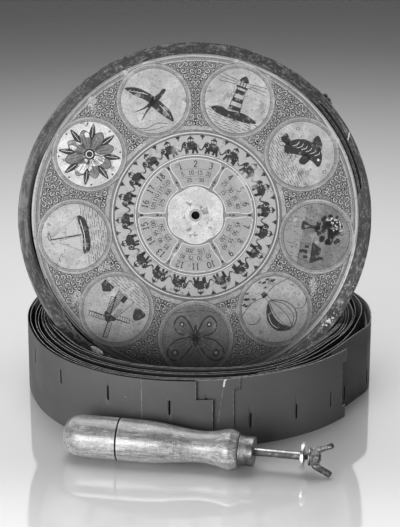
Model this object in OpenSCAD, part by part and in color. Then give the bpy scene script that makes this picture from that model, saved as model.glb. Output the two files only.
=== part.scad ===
// Hand-held viewing drum for picture strips, taken apart and set out for storage:
// a shallow card drum leans in a loose roll of ten slotted card strips, and the
// turned handle with its spindle and wing nut lies in front of the roll.
// Millimetres, +Z up, the table is z = 0.

/* [Strips] */
// Height of a picture strip
strip_h = 59; // [58:0.5:60]
// Thickness of the strip card
card_t = 0.65; // [0.5:0.05:0.7]
// Width of a viewing slit
slit_w = 1.5; // [1:0.1:2.5]
// Height of a viewing slit
slit_h = 12; // [8:0.5:14]
// Distance from a strip's lower edge to its slits
slit_low = 31.5; // [29:0.5:34]
// Length of the tongue cut on a strip's end
tongue_l = 13; // [8:0.5:16]
// Height of the tongue cut on a strip's end
tongue_h = 28; // [20:1:34]
// Length of the two tabs cut on a strip's end
tab_l = 5; // [3:0.5:7]
// Height of each of the two tabs
tab_h = 10.5; // [8:0.5:13]

/* [Drum] */
// Outside diameter of the drum
drum_d = 291.6; // [290:0.1:292]
// Height of the drum's wall
drum_depth = 20; // [18:0.5:22]
// Thickness of the wall, made of three laps of card
wall_t = 9.4; // [9:0.1:9.4]
// Diameter of the base board
board_d = 269.2; // [268:0.1:269.6]
// Thickness of the base board
board_t = 3; // [2.6:0.1:3.2]
// Thickness of the printed label
label_t = 0.25; // [0.2:0.05:0.3]
// Diameter of the hole for the spindle
hub_bore_d = 7; // [6.8:0.1:7.4]
// Angle that the drum leans back from upright
lean = 24; // [23.5:0.1:24.5]

/* [Handle] */
// Length of the wooden grip
grip_l = 137.2; // [137:0.1:137.4]
// Largest diameter of the grip
grip_d = 33; // [32:0.5:33]
// Outside diameter of the ferrule
ferrule_d = 21.6; // [21.4:0.1:22.4]
// Length of the ferrule
ferrule_l = 11.8; // [11.6:0.1:12]
// Diameter of the spindle
spindle_d = 6.4; // [6.2:0.1:6.4]
// Diameter of the spindle's threaded end
stud_d = 5.5; // [5:0.1:5.5]
// Diameter of the flange on the spindle
flange_d = 20; // [18:0.5:21]
// Radial running clearance of the spindle in its bearings
run_c = 0.05; // [0.02:0.01:0.08]

/* [Hidden] */
$fn = 96;
eps = 0.01;

// the whole set is moved so that its footprint is centred on the origin
layout = [2.05, 25.35, 0];

card = "#4b4b4c";
paper = "#b9b6ae";
wood = "#c9c2b2";
metal = "#9a9a98";

// ---------------------------------------------------------------- strips
// Each strip is a vertical wall that follows a curve seen from above. The curve
// is given by a few points: clockwise angle from +X in degrees, radius in mm.
// The four outer strips overlap each other's ends, so each has a curve of its own.
curve_01 = [[85,141.9],[95,142.1],[105,143],[120,143.5],[135,142.9],[150,141.2],[165,139.8],[180,140.6],[200,142],[225,142.8],
            [250,142.4],[270,141.2],[290,140.8],[310,141.2],[330,141.2],[345,140.8],[352,139.6],[359,136.9],[367,133.4],[377,131.7],
            [390,131.3],[400,131.6],[412,132.6],[430,133.6]];
curve_02 = [[76,138.5],[85,138.6],[95,138.6],[105,139.8],[120,141],[135,140.6],[150,139],[165,137.7],[180,138.6],[200,139.8],
            [225,140.2],[250,139.4],[270,138],[290,137.4],[310,137.8],[330,137.8],[345,135.8],[352,133.8],[359,131.8],[367,129.6],
            [377,127.2],[390,124.9],[400,126.2],[412,129.2],[430,130.6]];
curve_03 = [[32,141.6],[37,140.7],[43,139.9],[50,139.3],[56,138.2],[63,137.4],[69,137],[80,137],[95,137],[105,138],[120,138.8],[135,137.8],
            [150,135.2],[165,134.4],[180,134.2],[190,134.3],[200,135.6],[225,137.2],[250,136.6],[270,135],[290,134],[310,134],[330,133.4],
            [345,131.6],[352,130.7],[360,129.9],[370,127.6],[377,125.9],[392,123.2]];
// this one has a straight stretch that ends in a sharp bend near 10 degrees
curve_04 = [[-22,143.2],[-16,144.6],[-10,145.5],[-4,145.1],[4,144.2],[8.5,143.3],[10.4,142.4],[12.5,140.8],[16,138],[20,135.6],[25,133.9],[30.5,133.3],
            [36,133.9],[41,135.4],[45,136.8],[50,137.1],[56,136.5],[63,135.8],[69,135.5],[80,135.5],[95,135.2],[105,136],
            [120,136.6],[135,135.6],[150,133.2],[160,132.8],[170,132.2],[180,131.6],[190,131.4],[200,132.8],[214,134.6],[225,135.2],
            [250,134.2],[270,132.6],[290,131.2],[310,130.8],[331,130.6],[346,130]];
// The six inner strips follow one another along a single spiral. Each row is an
// angle, then the radius at that angle on each pass, from the outside inwards.
passes = [[225, [133,130.5,128,125.5,123,120.5,118]], [270, [129.8,127,124.2,121.4,118.6,115.8,113]],
          [315, [128.8,126.8,124.8,122.8,120.8,118.8,116.6]], [360, [126.2,125.1,124,122.9,121.8,120.7,119.6]],
          [370, [124.9,123.8,122.7,121.3,120.2,119.1,117.9]], [380, [123.4,122.4,121.3,118.6,117.5,116.4,115.2]],
          [390, [121.2,120.1,119,117,115.9,114.8,113.4]], [405, [123.6,122.2,120.8,119,117.4,115.8]],
          [420, [128.6,126.8,124.8,122.2,119.8,117.6]], [450, [128,126.5,124.9,119.2,117.4,115.2]],
          [495, [129.6,128.4,126.4,122.9,120.4,117.8]], [510, [128.8,127.6,125.6,124,120.8,117.6]],
          [520, [128.5,127.3,125.5,124.2,121.1,118]], [530, [128.7,127.5,126.2,124.9,123.3,121.6]],
          [540, [129.4,128.3,127.2,126.1,125,123.9]]];
curve_in = concat([[208, 133.4]],
    [for (p = [0:6]) for (k = [0:len(passes)-1]) if (p < len(passes[k][1])) [passes[k][0] + 360*p, passes[k][1][p]]],
    [[360*7 + 45, 113.4]]);

// smooth interpolation through a curve's points
function seg(t, x, i=0) = (i >= len(t)-2 || x <= t[i+1][0]) ? i : seg(t, x, i+1);
function rise(t, i) = (t[i+1][1]-t[i][1])/(t[i+1][0]-t[i][0]);
function slope(t, j) = j <= 0 ? rise(t, 0) : j >= len(t)-1 ? rise(t, len(t)-2) :
    let (ha = t[j][0]-t[j-1][0], hb = t[j+1][0]-t[j][0]) (rise(t, j-1)*hb + rise(t, j)*ha)/(ha+hb);
function rad(t, x) = let (i = seg(t, x), h = t[i+1][0]-t[i][0], s = (x-t[i][0])/h)
    (2*s*s*s-3*s*s+1)*t[i][1] + (s*s*s-2*s*s+s)*h*slope(t, i)
    + (3*s*s-2*s*s*s)*t[i+1][1] + (s*s*s-s*s)*h*slope(t, i+1);
function at(t, a) = let (r = rad(t, a)) [r*cos(a), -r*sin(a)];
function dir(t, a) = let (d = at(t, a+0.4)-at(t, a-0.4)) d/norm(d);
function aside(t, a, off) = let (p = at(t, a), d = dir(t, a)) [p[0]-d[1]*off, p[1]+d[0]*off];

// a frame at a point of the curve, x along the strip and y across it
module on_curve(t, a) {
    p = at(t, a);
    d = dir(t, a);
    translate([p[0], p[1], 0]) rotate([0, 0, atan2(d[1], d[0])]) children();
}

// t curve, a and b its ends, first and count the slits, upside for a strip rolled upside down,
// shift for slits cut higher or lower than usual and step for those after the first
module strip(t, a, b, first, count, pitch, upside=false, tongue_first=true, shift=0, step=0) {
    steps = ceil((b-a)/3);
    low = (upside ? strip_h-slit_low-slit_h : slit_low) + shift;
    cut = (strip_h-tongue_h)/2;
    difference() {
        linear_extrude(height=strip_h) polygon(concat(
            [for (i = [0:steps]) aside(t, a+(b-a)*i/steps, card_t/2)],
            [for (i = [steps:-1:0]) aside(t, a+(b-a)*i/steps, -card_t/2)]));
        for (i = [0:count-1]) on_curve(t, first+pitch*i)
            translate([-slit_w/2, -2, low + (i > 0 ? step : 0)]) cube([slit_w, 4, slit_h]);
        // the end with a tongue: notched above and below
        for (z = [-1, strip_h-cut]) on_curve(t, tongue_first ? a : b)
            translate([tongue_first ? -2 : -tongue_l, -3, z]) cube([tongue_l+2, 6, cut+1]);
        // the end with two tabs: notched between them
        on_curve(t, tongue_first ? b : a)
            translate([tongue_first ? -tab_l : -2, -3, tab_h]) cube([tab_l+2, 6, strip_h-2*tab_h]);
    }
}

module strip_01() color(card) strip(curve_01, 85, 429, 98.5, 17, 20.2, shift=-1, step=6);
module strip_02() color(card) strip(curve_02, 76, 427, 87, 20, 17.4, tongue_first=false);
module strip_03() color(card) strip(curve_03, 32.7, 387.4, 40.6, 22, 15.8, upside=true, tongue_first=false);
module strip_04() color(card) strip(curve_04, -22, 333, -6.1, 21, 16.4, upside=true, tongue_first=false, shift=-8);
module strip_05() color(card) strip(curve_in, 214, 586, 222, 18, 20.6);
module strip_06() color(card) strip(curve_in, 587.3, 965, 594, 22, 17, upside=true, tongue_first=false);
module strip_07() color(card) strip(curve_in, 966.3, 1350.5, 974, 20, 19);
module strip_08() color(card) strip(curve_in, 1352, 1745.5, 1361, 17, 23.2, tongue_first=false);
module strip_09() color(card) strip(curve_in, 1747, 2147, 1755.4, 20, 19.9, upside=true);
module strip_10() color(card) strip(curve_in, 2148.5, 2555.5, 2157, 22, 18.3);

// ---------------------------------------------------------------- drum
// In the drum's own frame z = 0 is the printed face, the wall runs to z = -drum_depth
// and the hole in the base board is at the centre.
drum_r = drum_d/2;
hoop_in = drum_r-wall_t;
lap = wall_t/3;
hoop_off = -0.9;   // the board sits a little to one side in the hoop
hub = [-1.2, 11.75, drum_r*cos(lean)+drum_depth*sin(lean)+0.2];
module in_drum() translate(hub) rotate([90-lean, 0, 0]) children();

module ring(ro, ri, z0, z1) translate([0, 0, z0]) difference() {
    cylinder(r=ro, h=z1-z0, $fn=180);
    translate([0, 0, -1]) cylinder(r=ri, h=z1-z0+2, $fn=180);
}
module drum_base_board() color("#6e6b66") in_drum()
    ring(board_d/2, hub_bore_d/2, -label_t-board_t, -label_t);
module drum_label() color(paper) in_drum()
    ring(board_d/2-0.3, hub_bore_d/2, -label_t, 0);
// a flat ring inside the wall that the board is glued against
module board_seat_ring() color("#5a5855") in_drum() translate([hoop_off, 0, 0])
    ring(hoop_in, hoop_in-8.4, -label_t-board_t-2, -label_t-board_t);
module hoop_inner_lap() color("#3c3b3a") in_drum() translate([hoop_off, 0, 0])
    ring(hoop_in+lap, hoop_in, -drum_depth, 0.2);
module hoop_middle_lap() color("#4a4948") in_drum() translate([hoop_off, 0, 0])
    ring(hoop_in+2*lap, hoop_in+lap, -drum_depth, 0.4);
// the outer lap's two ends meet in a narrow seam at the upper right
module hoop_outer_lap() color("#57565a") in_drum() translate([hoop_off, 0, 0]) difference() {
    ring(drum_r, hoop_in+2*lap, -drum_depth, 0.4);
    rotate([0, 0, 38]) translate([hoop_in+2*lap-1, -0.5, -drum_depth-1]) cube([lap+3, 1, drum_depth+3]);
}
// a short piece glued over that seam
module hoop_joint_patch() color("#646365") in_drum() translate([hoop_off, 0, 0])
    rotate([0, 0, 34.5]) rotate_extrude(angle=7, $fn=180)
        translate([drum_r, -drum_depth+1]) square([0.5, drum_depth-1.2]);

// ---------------------------------------------------------------- handle
// In the handle's own frame z runs along its axis from the butt, -x is upwards.
butt = [-102.3, -147.1, 17.13];
yaw = 10.87;
dip = 0.64;
module in_handle() translate(butt) rotate([0, 90+dip, -yaw]) children();

gr = grip_d/2;
bore_r = spindle_d/2+run_c;
tenon_r = ferrule_d/2-0.9;
end_s = grip_l+ferrule_l;        // outer face of the ferrule
plate_s = end_s-1.5;             // inner face of its end plate
collar_s = plate_s-5.3;
bush_s = 116;
flange_s = 185.6;
stud_s = 199.9;
washer_s = 190.6;
hub_s = 191.8;

// outline of the turned grip: distance from the butt, radius
grip_line = [[0,0],[0.2,3.4],[0.9,7],[2.3,10.2],[4.6,12.9],[8,14.9],[12.5,16],[18,gr-0.2],[28,gr],[43.1,gr],[43.35,gr-0.9],[43.95,gr-0.9],[44.2,gr],
             [58,gr-0.05],[68,gr-0.3],[76,gr-0.9],[84,gr-1.9],[92,gr-3],[100,gr-3.85],[106,gr-4.2],[111,gr-4.2],
             [116,gr-3.7],[121,gr-2.7],[125.5,gr-1.5],[128.6,gr-0.9],[130.6,gr-0.85],[132,gr-1.3],[134.5,gr-2.4],[136.6,gr-3.3],[grip_l,gr-3.9]];
module handle_grip() color(wood) in_handle() difference() {
    union() {
        rotate_extrude() polygon(concat(grip_line, [[grip_l, 0]]) * [[0, 1], [1, 0]]);
        translate([0, 0, grip_l-1]) cylinder(r=tenon_r, h=plate_s-grip_l+1);
    }
    translate([0, 0, 109]) cylinder(r=3.7, h=60);
    translate([0, 0, bush_s]) cylinder(r=5, h=60);
    translate([0, 0, collar_s]) cylinder(r=7.2, h=60);
}
module ferrule() color(metal) in_handle() difference() {
    translate([0, 0, grip_l]) cylinder(r=ferrule_d/2, h=ferrule_l);
    translate([0, 0, grip_l-1]) cylinder(r=tenon_r, h=plate_s-grip_l+1);
    translate([0, 0, grip_l]) cylinder(r=bore_r, h=ferrule_l+1);
}
module spindle_bush() color("#b49a5a") in_handle()
    ring(5, bore_r, bush_s, collar_s);
module spindle_rod() color("#b8b8b8") in_handle() difference() {
    union() {
        translate([0, 0, 112]) cylinder(r=spindle_d/2, h=flange_s-112);
        translate([0, 0, flange_s-1]) cylinder(r=stud_d/2, h=stud_s-flange_s+1);
    }
    translate([0, 0, (collar_s+plate_s)/2]) rotate([0, 90, 0]) cylinder(r=0.8, h=30, center=true, $fn=24);
}
module spindle_flange() color("#b0b0b0") in_handle()
    ring(flange_d/2, stud_d/2, flange_s, flange_s+1.7);
module thrust_collar() color("#8c8c8a") in_handle() difference() {
    ring(6.5, spindle_d/2, collar_s+0.3, plate_s-0.3);
    translate([0, 0, (collar_s+plate_s)/2]) rotate([0, 90, 0]) cylinder(r=0.8, h=30, center=true, $fn=24);
}
module collar_pin() color("#a0a0a0") in_handle()
    translate([0, 0, (collar_s+plate_s)/2]) rotate([0, 90, 0]) cylinder(r=0.8, h=12.6, center=true, $fn=24);
module clamp_washer() color("#8a8987") in_handle()
    ring(7, stud_d/2+0.1, washer_s, hub_s);

// outline of one ear of the wing nut: distance along the axis, distance from it
ear_line = [[hub_s,3.4],[hub_s,6.2],[hub_s+1.2,7.1],[hub_s+4,7.9],[hub_s+8,8.8],[hub_s+12,10],[hub_s+14.6,11.3],
            [hub_s+15.6,9.7],[hub_s+14,7.7],[hub_s+10.4,6.3],[hub_s+7.2,5.1],[hub_s+6,3.4]];
module wing_nut() color("#85837f") in_handle() difference() {
    union() {
        translate([0, 0, hub_s]) cylinder(r1=6.3, r2=5.3, h=6.9);
        for (side = [0, 180]) rotate([0, 0, side-16]) {
            translate([0, 1.4, 0]) rotate([90, 0, 0]) linear_extrude(height=2.8)
                polygon([for (p = ear_line) [-p[1], p[0]]]);
            translate([-10.5, 2, hub_s+14.7]) rotate([90, 0, 0]) cylinder(r=2, h=4, $fn=32);
        }
    }
    translate([0, 0, hub_s-1]) cylinder(r=stud_d/2+run_c, h=30);
}

module placed() translate(layout) children();

placed() strip_01();
placed() strip_02();
placed() strip_03();
placed() strip_04();
placed() strip_05();
placed() strip_06();
placed() strip_07();
placed() strip_08();
placed() strip_09();
placed() strip_10();
placed() drum_base_board();
placed() drum_label();
placed() board_seat_ring();
placed() hoop_inner_lap();
placed() hoop_middle_lap();
placed() hoop_outer_lap();
placed() hoop_joint_patch();
placed() handle_grip();
placed() ferrule();
placed() spindle_bush();
placed() spindle_rod();
placed() spindle_flange();
placed() thrust_collar();
placed() collar_pin();
placed() clamp_washer();
placed() wing_nut();
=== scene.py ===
import math
import bpy
import numpy as np
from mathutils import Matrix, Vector, geometry, noise


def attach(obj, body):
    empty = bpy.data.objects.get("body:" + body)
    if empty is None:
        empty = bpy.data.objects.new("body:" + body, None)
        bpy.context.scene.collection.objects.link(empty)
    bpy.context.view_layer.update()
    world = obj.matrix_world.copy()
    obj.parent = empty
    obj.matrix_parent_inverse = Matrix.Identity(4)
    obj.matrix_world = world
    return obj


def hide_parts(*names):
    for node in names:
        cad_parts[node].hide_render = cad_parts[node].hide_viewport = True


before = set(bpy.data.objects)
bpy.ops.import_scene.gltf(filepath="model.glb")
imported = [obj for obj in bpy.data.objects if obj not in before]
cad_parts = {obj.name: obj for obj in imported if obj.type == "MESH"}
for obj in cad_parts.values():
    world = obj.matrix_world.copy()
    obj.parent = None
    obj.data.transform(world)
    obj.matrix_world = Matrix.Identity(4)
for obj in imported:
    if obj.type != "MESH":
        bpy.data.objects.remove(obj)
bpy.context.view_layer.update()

# Lengths in the helpers below are millimetres in the row frame; meshes are written in metres.
LAY = np.array([2.05, 25.35, 0.0])     # the shift of the whole layout, as in the frame
rng = np.random.default_rng(11)

# ------------------------------------------------------------------ frames
LEAN = math.radians(24)
DRUM_R, DRUM_DEEP, HOOP_OFF, HOOP_IN = 145.8, 20.0, -0.9, 136.4
HUB = np.array([-1.2, 11.75, DRUM_R * math.cos(LEAN) + DRUM_DEEP * math.sin(LEAN) + 0.2]) + LAY
DRUM_M = np.array([[1, 0, 0], [0, math.sin(LEAN), math.cos(LEAN)], [0, -math.cos(LEAN), math.sin(LEAN)]])
YAW, DIP = math.radians(10.87), math.radians(0.64)
BUTT = np.array([-102.3, -147.1, 17.13]) + LAY
HAND_M = np.array([
    [-math.sin(DIP) * math.cos(YAW), math.sin(DIP) * math.sin(YAW), -math.cos(DIP)],
    [math.sin(YAW), math.cos(YAW), 0],
    [math.cos(DIP) * math.cos(YAW), -math.cos(DIP) * math.sin(YAW), -math.sin(DIP)]])


def in_drum(p):
    """Drum frame (x, y on the printed face, z out of it) to the row frame."""
    return np.asarray(p, float) @ DRUM_M + HUB


def in_hand(p):
    """Handle frame (z along the axis from the butt, -x up) to the row frame."""
    return np.asarray(p, float) @ HAND_M + BUTT


# ------------------------------------------------------------------ shader helper
def grey(v):
    c = v / 255
    return c / 12.92 if c <= 0.04045 else ((c + 0.055) / 1.055) ** 2.4


def rgba(v):
    if isinstance(v, (int, float)):
        g = grey(v)
        return (g, g, g, 1)
    return tuple(grey(c) for c in v) + (1,)


class Mat:
    """A node material built with short calls; tones are display greys from 0 to 255."""

    def __init__(self, name):
        self.m = bpy.data.materials.new(name)
        self.m.use_nodes = True
        self.nt = self.m.node_tree
        self.nt.nodes.clear()
        self.out = self.nt.nodes.new("ShaderNodeOutputMaterial")
        self.b = self.nt.nodes.new("ShaderNodeBsdfPrincipled")
        self.nt.links.new(self.b.outputs[0], self.out.inputs[0])
        self.vec = self.nt.nodes.new("ShaderNodeTexCoord").outputs["Object"]

    def link(self, a, b):
        self.nt.links.new(a, b)

    def put(self, sock, v):
        if isinstance(v, bpy.types.NodeSocket):
            self.link(v, sock)
        elif sock.type == "RGBA":
            sock.default_value = rgba(v)
        else:
            sock.default_value = v

    def attr(self, name, fac=False):
        n = self.nt.nodes.new("ShaderNodeAttribute")
        n.attribute_name = name
        return n.outputs["Fac" if fac else "Vector"]

    def mapping(self, vec, scale=(1, 1, 1), rot=(0, 0, 0), loc=(0, 0, 0)):
        n = self.nt.nodes.new("ShaderNodeMapping")
        self.link(vec, n.inputs[0])
        n.inputs["Location"].default_value = loc
        n.inputs["Rotation"].default_value = rot
        n.inputs["Scale"].default_value = scale
        return n.outputs[0]

    def noise(self, scale, detail=3.0, rough=0.5, vec=None, dist=0.0):
        n = self.nt.nodes.new("ShaderNodeTexNoise")
        self.link(self.vec if vec is None else vec, n.inputs["Vector"])
        n.inputs["Scale"].default_value = scale
        n.inputs["Detail"].default_value = detail
        n.inputs["Roughness"].default_value = rough
        n.inputs["Distortion"].default_value = dist
        return n.outputs["Fac"]

    def cells(self, scale, vec=None, feature="F1", rand=1.0):
        n = self.nt.nodes.new("ShaderNodeTexVoronoi")
        n.feature = feature
        self.link(self.vec if vec is None else vec, n.inputs["Vector"])
        n.inputs["Scale"].default_value = scale
        n.inputs["Randomness"].default_value = rand
        return n.outputs["Distance"]

    def ramp(self, fac, stops, interp="LINEAR"):
        n = self.nt.nodes.new("ShaderNodeValToRGB")
        cr = n.color_ramp
        cr.interpolation = interp
        while len(cr.elements) < len(stops):
            cr.elements.new(0.5)
        for e, (p, v) in zip(cr.elements, stops):
            e.position = p
        for e, (p, v) in zip(cr.elements, stops):
            e.color = rgba(v)
        self.link(fac, n.inputs[0])
        return n.outputs[0]

    def step(self, fac, lo, hi, a=0.0, b=1.0):
        n = self.nt.nodes.new("ShaderNodeMapRange")
        n.interpolation_type = "SMOOTHSTEP"
        self.put(n.inputs["Value"], fac)
        for k, v in (("From Min", lo), ("From Max", hi), ("To Min", a), ("To Max", b)):
            n.inputs[k].default_value = v
        return n.outputs[0]

    def calc(self, op, a, b=0.0, clamp=False):
        n = self.nt.nodes.new("ShaderNodeMath")
        n.operation = op
        n.use_clamp = clamp
        self.put(n.inputs[0], a)
        self.put(n.inputs[1], b)
        return n.outputs[0]

    def mix(self, fac, a, b, kind="MIX"):
        n = self.nt.nodes.new("ShaderNodeMix")
        n.data_type = "RGBA"
        n.blend_type = kind
        n.clamp_factor = True
        self.put(n.inputs[0], fac)
        self.put(n.inputs[6], a)
        self.put(n.inputs[7], b)
        return n.outputs[2]

    def split(self, vec):
        n = self.nt.nodes.new("ShaderNodeSeparateXYZ")
        self.link(vec, n.inputs[0])
        return n.outputs

    def bump(self, height, dist, strength=1.0, normal=None):
        n = self.nt.nodes.new("ShaderNodeBump")
        n.inputs["Strength"].default_value = strength
        n.inputs["Distance"].default_value = dist
        self.link(height, n.inputs["Height"])
        if normal is not None:
            self.link(normal, n.inputs["Normal"])
        return n.outputs[0]

    def done(self, color=None, rough=None, normal=None, metal=None, spec=None, coat=None, coat_rough=None, ior=None):
        b = self.b.inputs
        if color is not None:
            self.put(b["Base Color"], color)
        if rough is not None:
            self.put(b["Roughness"], rough)
        if normal is not None:
            self.link(normal, b["Normal"])
        if metal is not None:
            self.put(b["Metallic"], metal)
        if spec is not None:
            b["Specular IOR Level"].default_value = spec
        if coat is not None:
            b["Coat Weight"].default_value = coat
        if coat_rough is not None:
            b["Coat Roughness"].default_value = coat_rough
        if ior is not None:
            b["IOR"].default_value = ior
        return self.m


# ------------------------------------------------------------------ mesh helper
def piece(name, verts, faces, body, mats, index=None, smooth=None, replaces=(), attrs=None, sharp=None):
    """A mesh object from millimetre points in the row frame, riding on a body."""
    me = bpy.data.meshes.new(name)
    v = (np.asarray(verts, float) * 0.001).tolist()
    me.from_pydata(v, [], faces if isinstance(faces, list) else faces.tolist())
    if index is not None:
        me.polygons.foreach_set("material_index", np.asarray(index, np.int32))
    s = np.ones(len(me.polygons), bool) if smooth is None else np.asarray(smooth, bool)
    me.polygons.foreach_set("use_smooth", s)
    if sharp is not None:
        me.set_sharp_from_angle(angle=math.radians(sharp))
    for k, val in (attrs or {}).items():
        val = np.asarray(val, np.float32)
        if val.ndim == 2:
            me.attributes.new(k, "FLOAT_VECTOR", "POINT").data.foreach_set("vector", val.ravel())
        else:
            me.attributes.new(k, "FLOAT", "POINT").data.foreach_set("value", val)
    me.update()
    ob = bpy.data.objects.new(name, me)
    bpy.context.scene.collection.objects.link(ob)
    for m in mats if isinstance(mats, (list, tuple)) else [mats]:
        me.materials.append(m)
    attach(ob, body)
    if replaces:
        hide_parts(*replaces)
    return ob


def dress(node, mat):
    """Gives a CAD node a better material without touching its mesh."""
    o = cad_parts[node]
    if not o.data.materials:
        o.data.materials.append(mat)
    for i in range(len(o.data.materials)):
        o.data.materials[i] = mat
    return o


def smooth_line(pts, n=6, closed=False):
    """Catmull-Rom through the points."""
    P = np.asarray(pts, float)
    if closed:
        Q = np.concatenate([P[-1:], P, P[:2]])
    else:
        Q = np.concatenate([2 * P[:1] - P[1:2], P, 2 * P[-1:] - P[-2:-1]])
    out = []
    for i in range(1, len(Q) - 2):
        a, b, c, d = Q[i - 1], Q[i], Q[i + 1], Q[i + 2]
        for j in range(n):
            t = j / n
            out.append(0.5 * (2 * b + (c - a) * t + (2 * a - 5 * b + 4 * c - d) * t * t + (3 * b - a - 3 * c + d) * t ** 3))
    if not closed:
        out.append(P[-1])
    return np.array(out)


# ------------------------------------------------------------------ materials
def paper_tone(s):
    """Aged label paper: broad stains, fine mottling, specks, and places where the print has lifted."""
    broad = s.noise(17, 4, 0.55)
    base = s.ramp(broad, [(0.30, 134), (0.50, 150), (0.72, 166)])
    fine = s.noise(620, 3, 0.6)
    base = s.mix(s.step(fine, 0.35, 0.72, 0.0, 0.5), base, 112)
    lifted = s.step(s.noise(38, 6, 0.66), 0.60, 0.66, 0.0, 0.75)
    base = s.mix(lifted, base, 212)
    dots = s.step(s.noise(1500, 1, 0.5), 0.70, 0.76, 0.0, 0.8)
    base = s.mix(dots, base, 226)
    dark = s.step(s.noise(800, 2, 0.5), 0.30, 0.25, 0.0, 0.75)
    return s.mix(dark, base, 84)


def sooty(s, c):
    """Painted shade: the bottom of the face is darkened, standing in for the shadow of the strips packed in front of
    it.
    """
    z = s.split(s.vec)[2]
    return s.mix(s.step(s.calc("ADD", z, s.calc("MULTIPLY", s.noise(22, 4, 0.6), 0.03)), 0.112, 0.040, 0.0, 0.84), c, 26)


def printed(name, tone, wear=1.0, lo=0.55, hi=0.63, var=0.0):
    """Ink on that paper, rubbed thin in places."""
    s = Mat(name)
    paper = paper_tone(s)
    rub = s.step(s.noise(230, 5, 0.68), lo, hi, 0.0, wear)
    rub2 = s.step(s.noise(38, 6, 0.66), 0.60, 0.66, 0.0, 0.55 * wear)
    ink = s.mix(s.noise(900, 2, 0.5), tone - 14 - var, tone + 14 + var)
    c = sooty(s, s.mix(s.calc("MAXIMUM", rub, rub2), ink, paper))
    return s.done(c, 0.62, s.bump(s.noise(1100, 3, 0.6), 0.00006, 0.6), spec=0.35)


def label_mat():
    s = Mat("label_paper")
    c = sooty(s, paper_tone(s))
    h = s.calc("ADD", s.noise(1100, 3, 0.6), s.calc("MULTIPLY", s.noise(60, 3, 0.5), 2.2))
    return s.done(c, s.step(s.noise(70, 3), 0.3, 0.7, 0.5, 0.66), s.bump(h, 0.00008, 0.6), spec=0.35)


def pale_mat(name, tone, lo=0.36, hi=0.40):
    """A paler printed ground with stains and specks."""
    s = Mat(name)
    n = s.noise(75, 5, 0.62)
    c = s.mix(s.step(n, 0.35, 0.70), tone - 24, tone + 8)
    c = s.mix(s.step(s.noise(780, 4, 0.7), 0.44, 0.62, 0, 0.42), c, tone - 62)
    c = s.mix(s.step(s.noise(430, 4, 0.68), 0.56, 0.64, 0, 0.55), c, tone - 78)
    c = s.mix(s.step(s.noise(1400, 1, 0.5), 0.70, 0.75, 0, 0.6), c, 236)
    gone = s.step(s.noise(120, 5, 0.66), lo, hi, 1.0, 0.0)
    c = sooty(s, s.mix(gone, c, paper_tone(s)))
    return s.done(c, 0.6, s.bump(s.noise(1100, 3, 0.6), 0.00006, 0.6), spec=0.35)


def card_mat(name="strip_card", shift=0):
    """Smooth dark strip card, a little greyed and scuffed."""
    s = Mat(name)
    n = s.noise(14, 3, 0.5)
    c = s.ramp(n, [(0.30, 80 + shift), (0.70, 92 + shift)])
    c = s.mix(s.step(s.noise(300, 4, 0.65), 0.56, 0.74, 0, 0.35), c, 102)
    c = s.mix(s.step(s.noise(1300, 2, 0.5), 0.70, 0.78, 0, 0.6), c, 150)
    r = s.step(s.noise(40, 3), 0.3, 0.7, 0.50, 0.62)
    return s.done(c, r, s.bump(s.noise(700, 3, 0.5), 0.00004, 0.5), spec=0.35)


def deep_mat():
    """Painted shade: the card's other side, the turns hidden in the nest and the slits' edges are coloured near black,
    standing in for the shade between the turns.
    """
    s = Mat("card_nest_painted_shade")
    c = s.mix(s.noise(30, 4, 0.6), 26, 46)
    return s.done(c, 0.6, s.bump(s.noise(700, 3, 0.5), 0.00004, 0.5), spec=0.25)


def edge_mat():
    """Cut edge of the card: pale core with smudges."""
    s = Mat("card_edge")
    n = s.noise(220, 4, 0.6)
    c = s.ramp(n, [(0.32, 126), (0.5, 176), (0.7, 206)])
    return s.done(c, 0.8, spec=0.2)


def sooty_edge_mat():
    """A darker cut edge."""
    s = Mat("card_edge_sooty")
    c = s.ramp(s.noise(220, 4, 0.6), [(0.35, 44), (0.6, 66), (0.72, 120)])
    return s.done(c, 0.8, spec=0.2)


def rubbed_mat():
    """The dark face of the card rubbed through to its core here and there."""
    s = Mat("card_rubbed")
    c = s.mix(s.step(s.noise(420, 4, 0.7), 0.45, 0.60, 0.15, 0.95), 96, 176)
    return s.done(c, 0.75, spec=0.2)


def seam_mat():
    """Line of old glue and lifted card."""
    s = Mat("card_seam")
    c = s.mix(s.step(s.noise(260, 3, 0.6), 0.38, 0.62, 0.1, 0.9), 96, 138)
    return s.done(c, 0.6, spec=0.3)


def wall_tone(s, v):
    """Tone of the drum's dark covering paper; v is the place in the drum's own frame."""
    x, y, z = s.split(v)
    ang = s.calc("ADD", s.calc("DIVIDE", s.calc("ARCTAN2", y, x), 2 * math.pi), 0.5)
    zone = s.ramp(ang, [(0.0, 128), (0.03, 118), (0.045, 94), (0.065, 66), (0.13, 54), (0.17, 52), (0.30, 58), (0.39, 102), (0.43, 94), (0.48, 72), (0.535, 74), (0.565, 56), (0.62, 48), (0.68, 56), (0.80, 56), (0.90, 88), (1.0, 126)])
    n = s.noise(95, 5, 0.62, vec=v)
    c = s.mix(s.step(n, 0.36, 0.62, 0.0, 0.62), zone, 46)
    c = s.mix(s.step(s.noise(190, 5, 0.68, vec=v), 0.50, 0.64, 0, 0.5), c, 122)
    c = s.mix(s.step(s.noise(420, 4, 0.62, vec=v), 0.55, 0.66, 0, 0.45), c, 132)
    # a paler ring along the outer edge: partly rubbing, partly a painted highlight where the rounded edge meets the
    # light
    far = s.calc("SQRT", s.calc("ADD", s.calc("MULTIPLY", x, x), s.calc("MULTIPLY", y, y)))
    rubbed = s.calc("MULTIPLY", s.step(far, 0.1436, 0.1456), s.step(s.noise(130, 4, 0.6, vec=v), 0.36, 0.56, 0.1, 0.75))
    c = s.mix(rubbed, c, 138)
    return c, n


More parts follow.
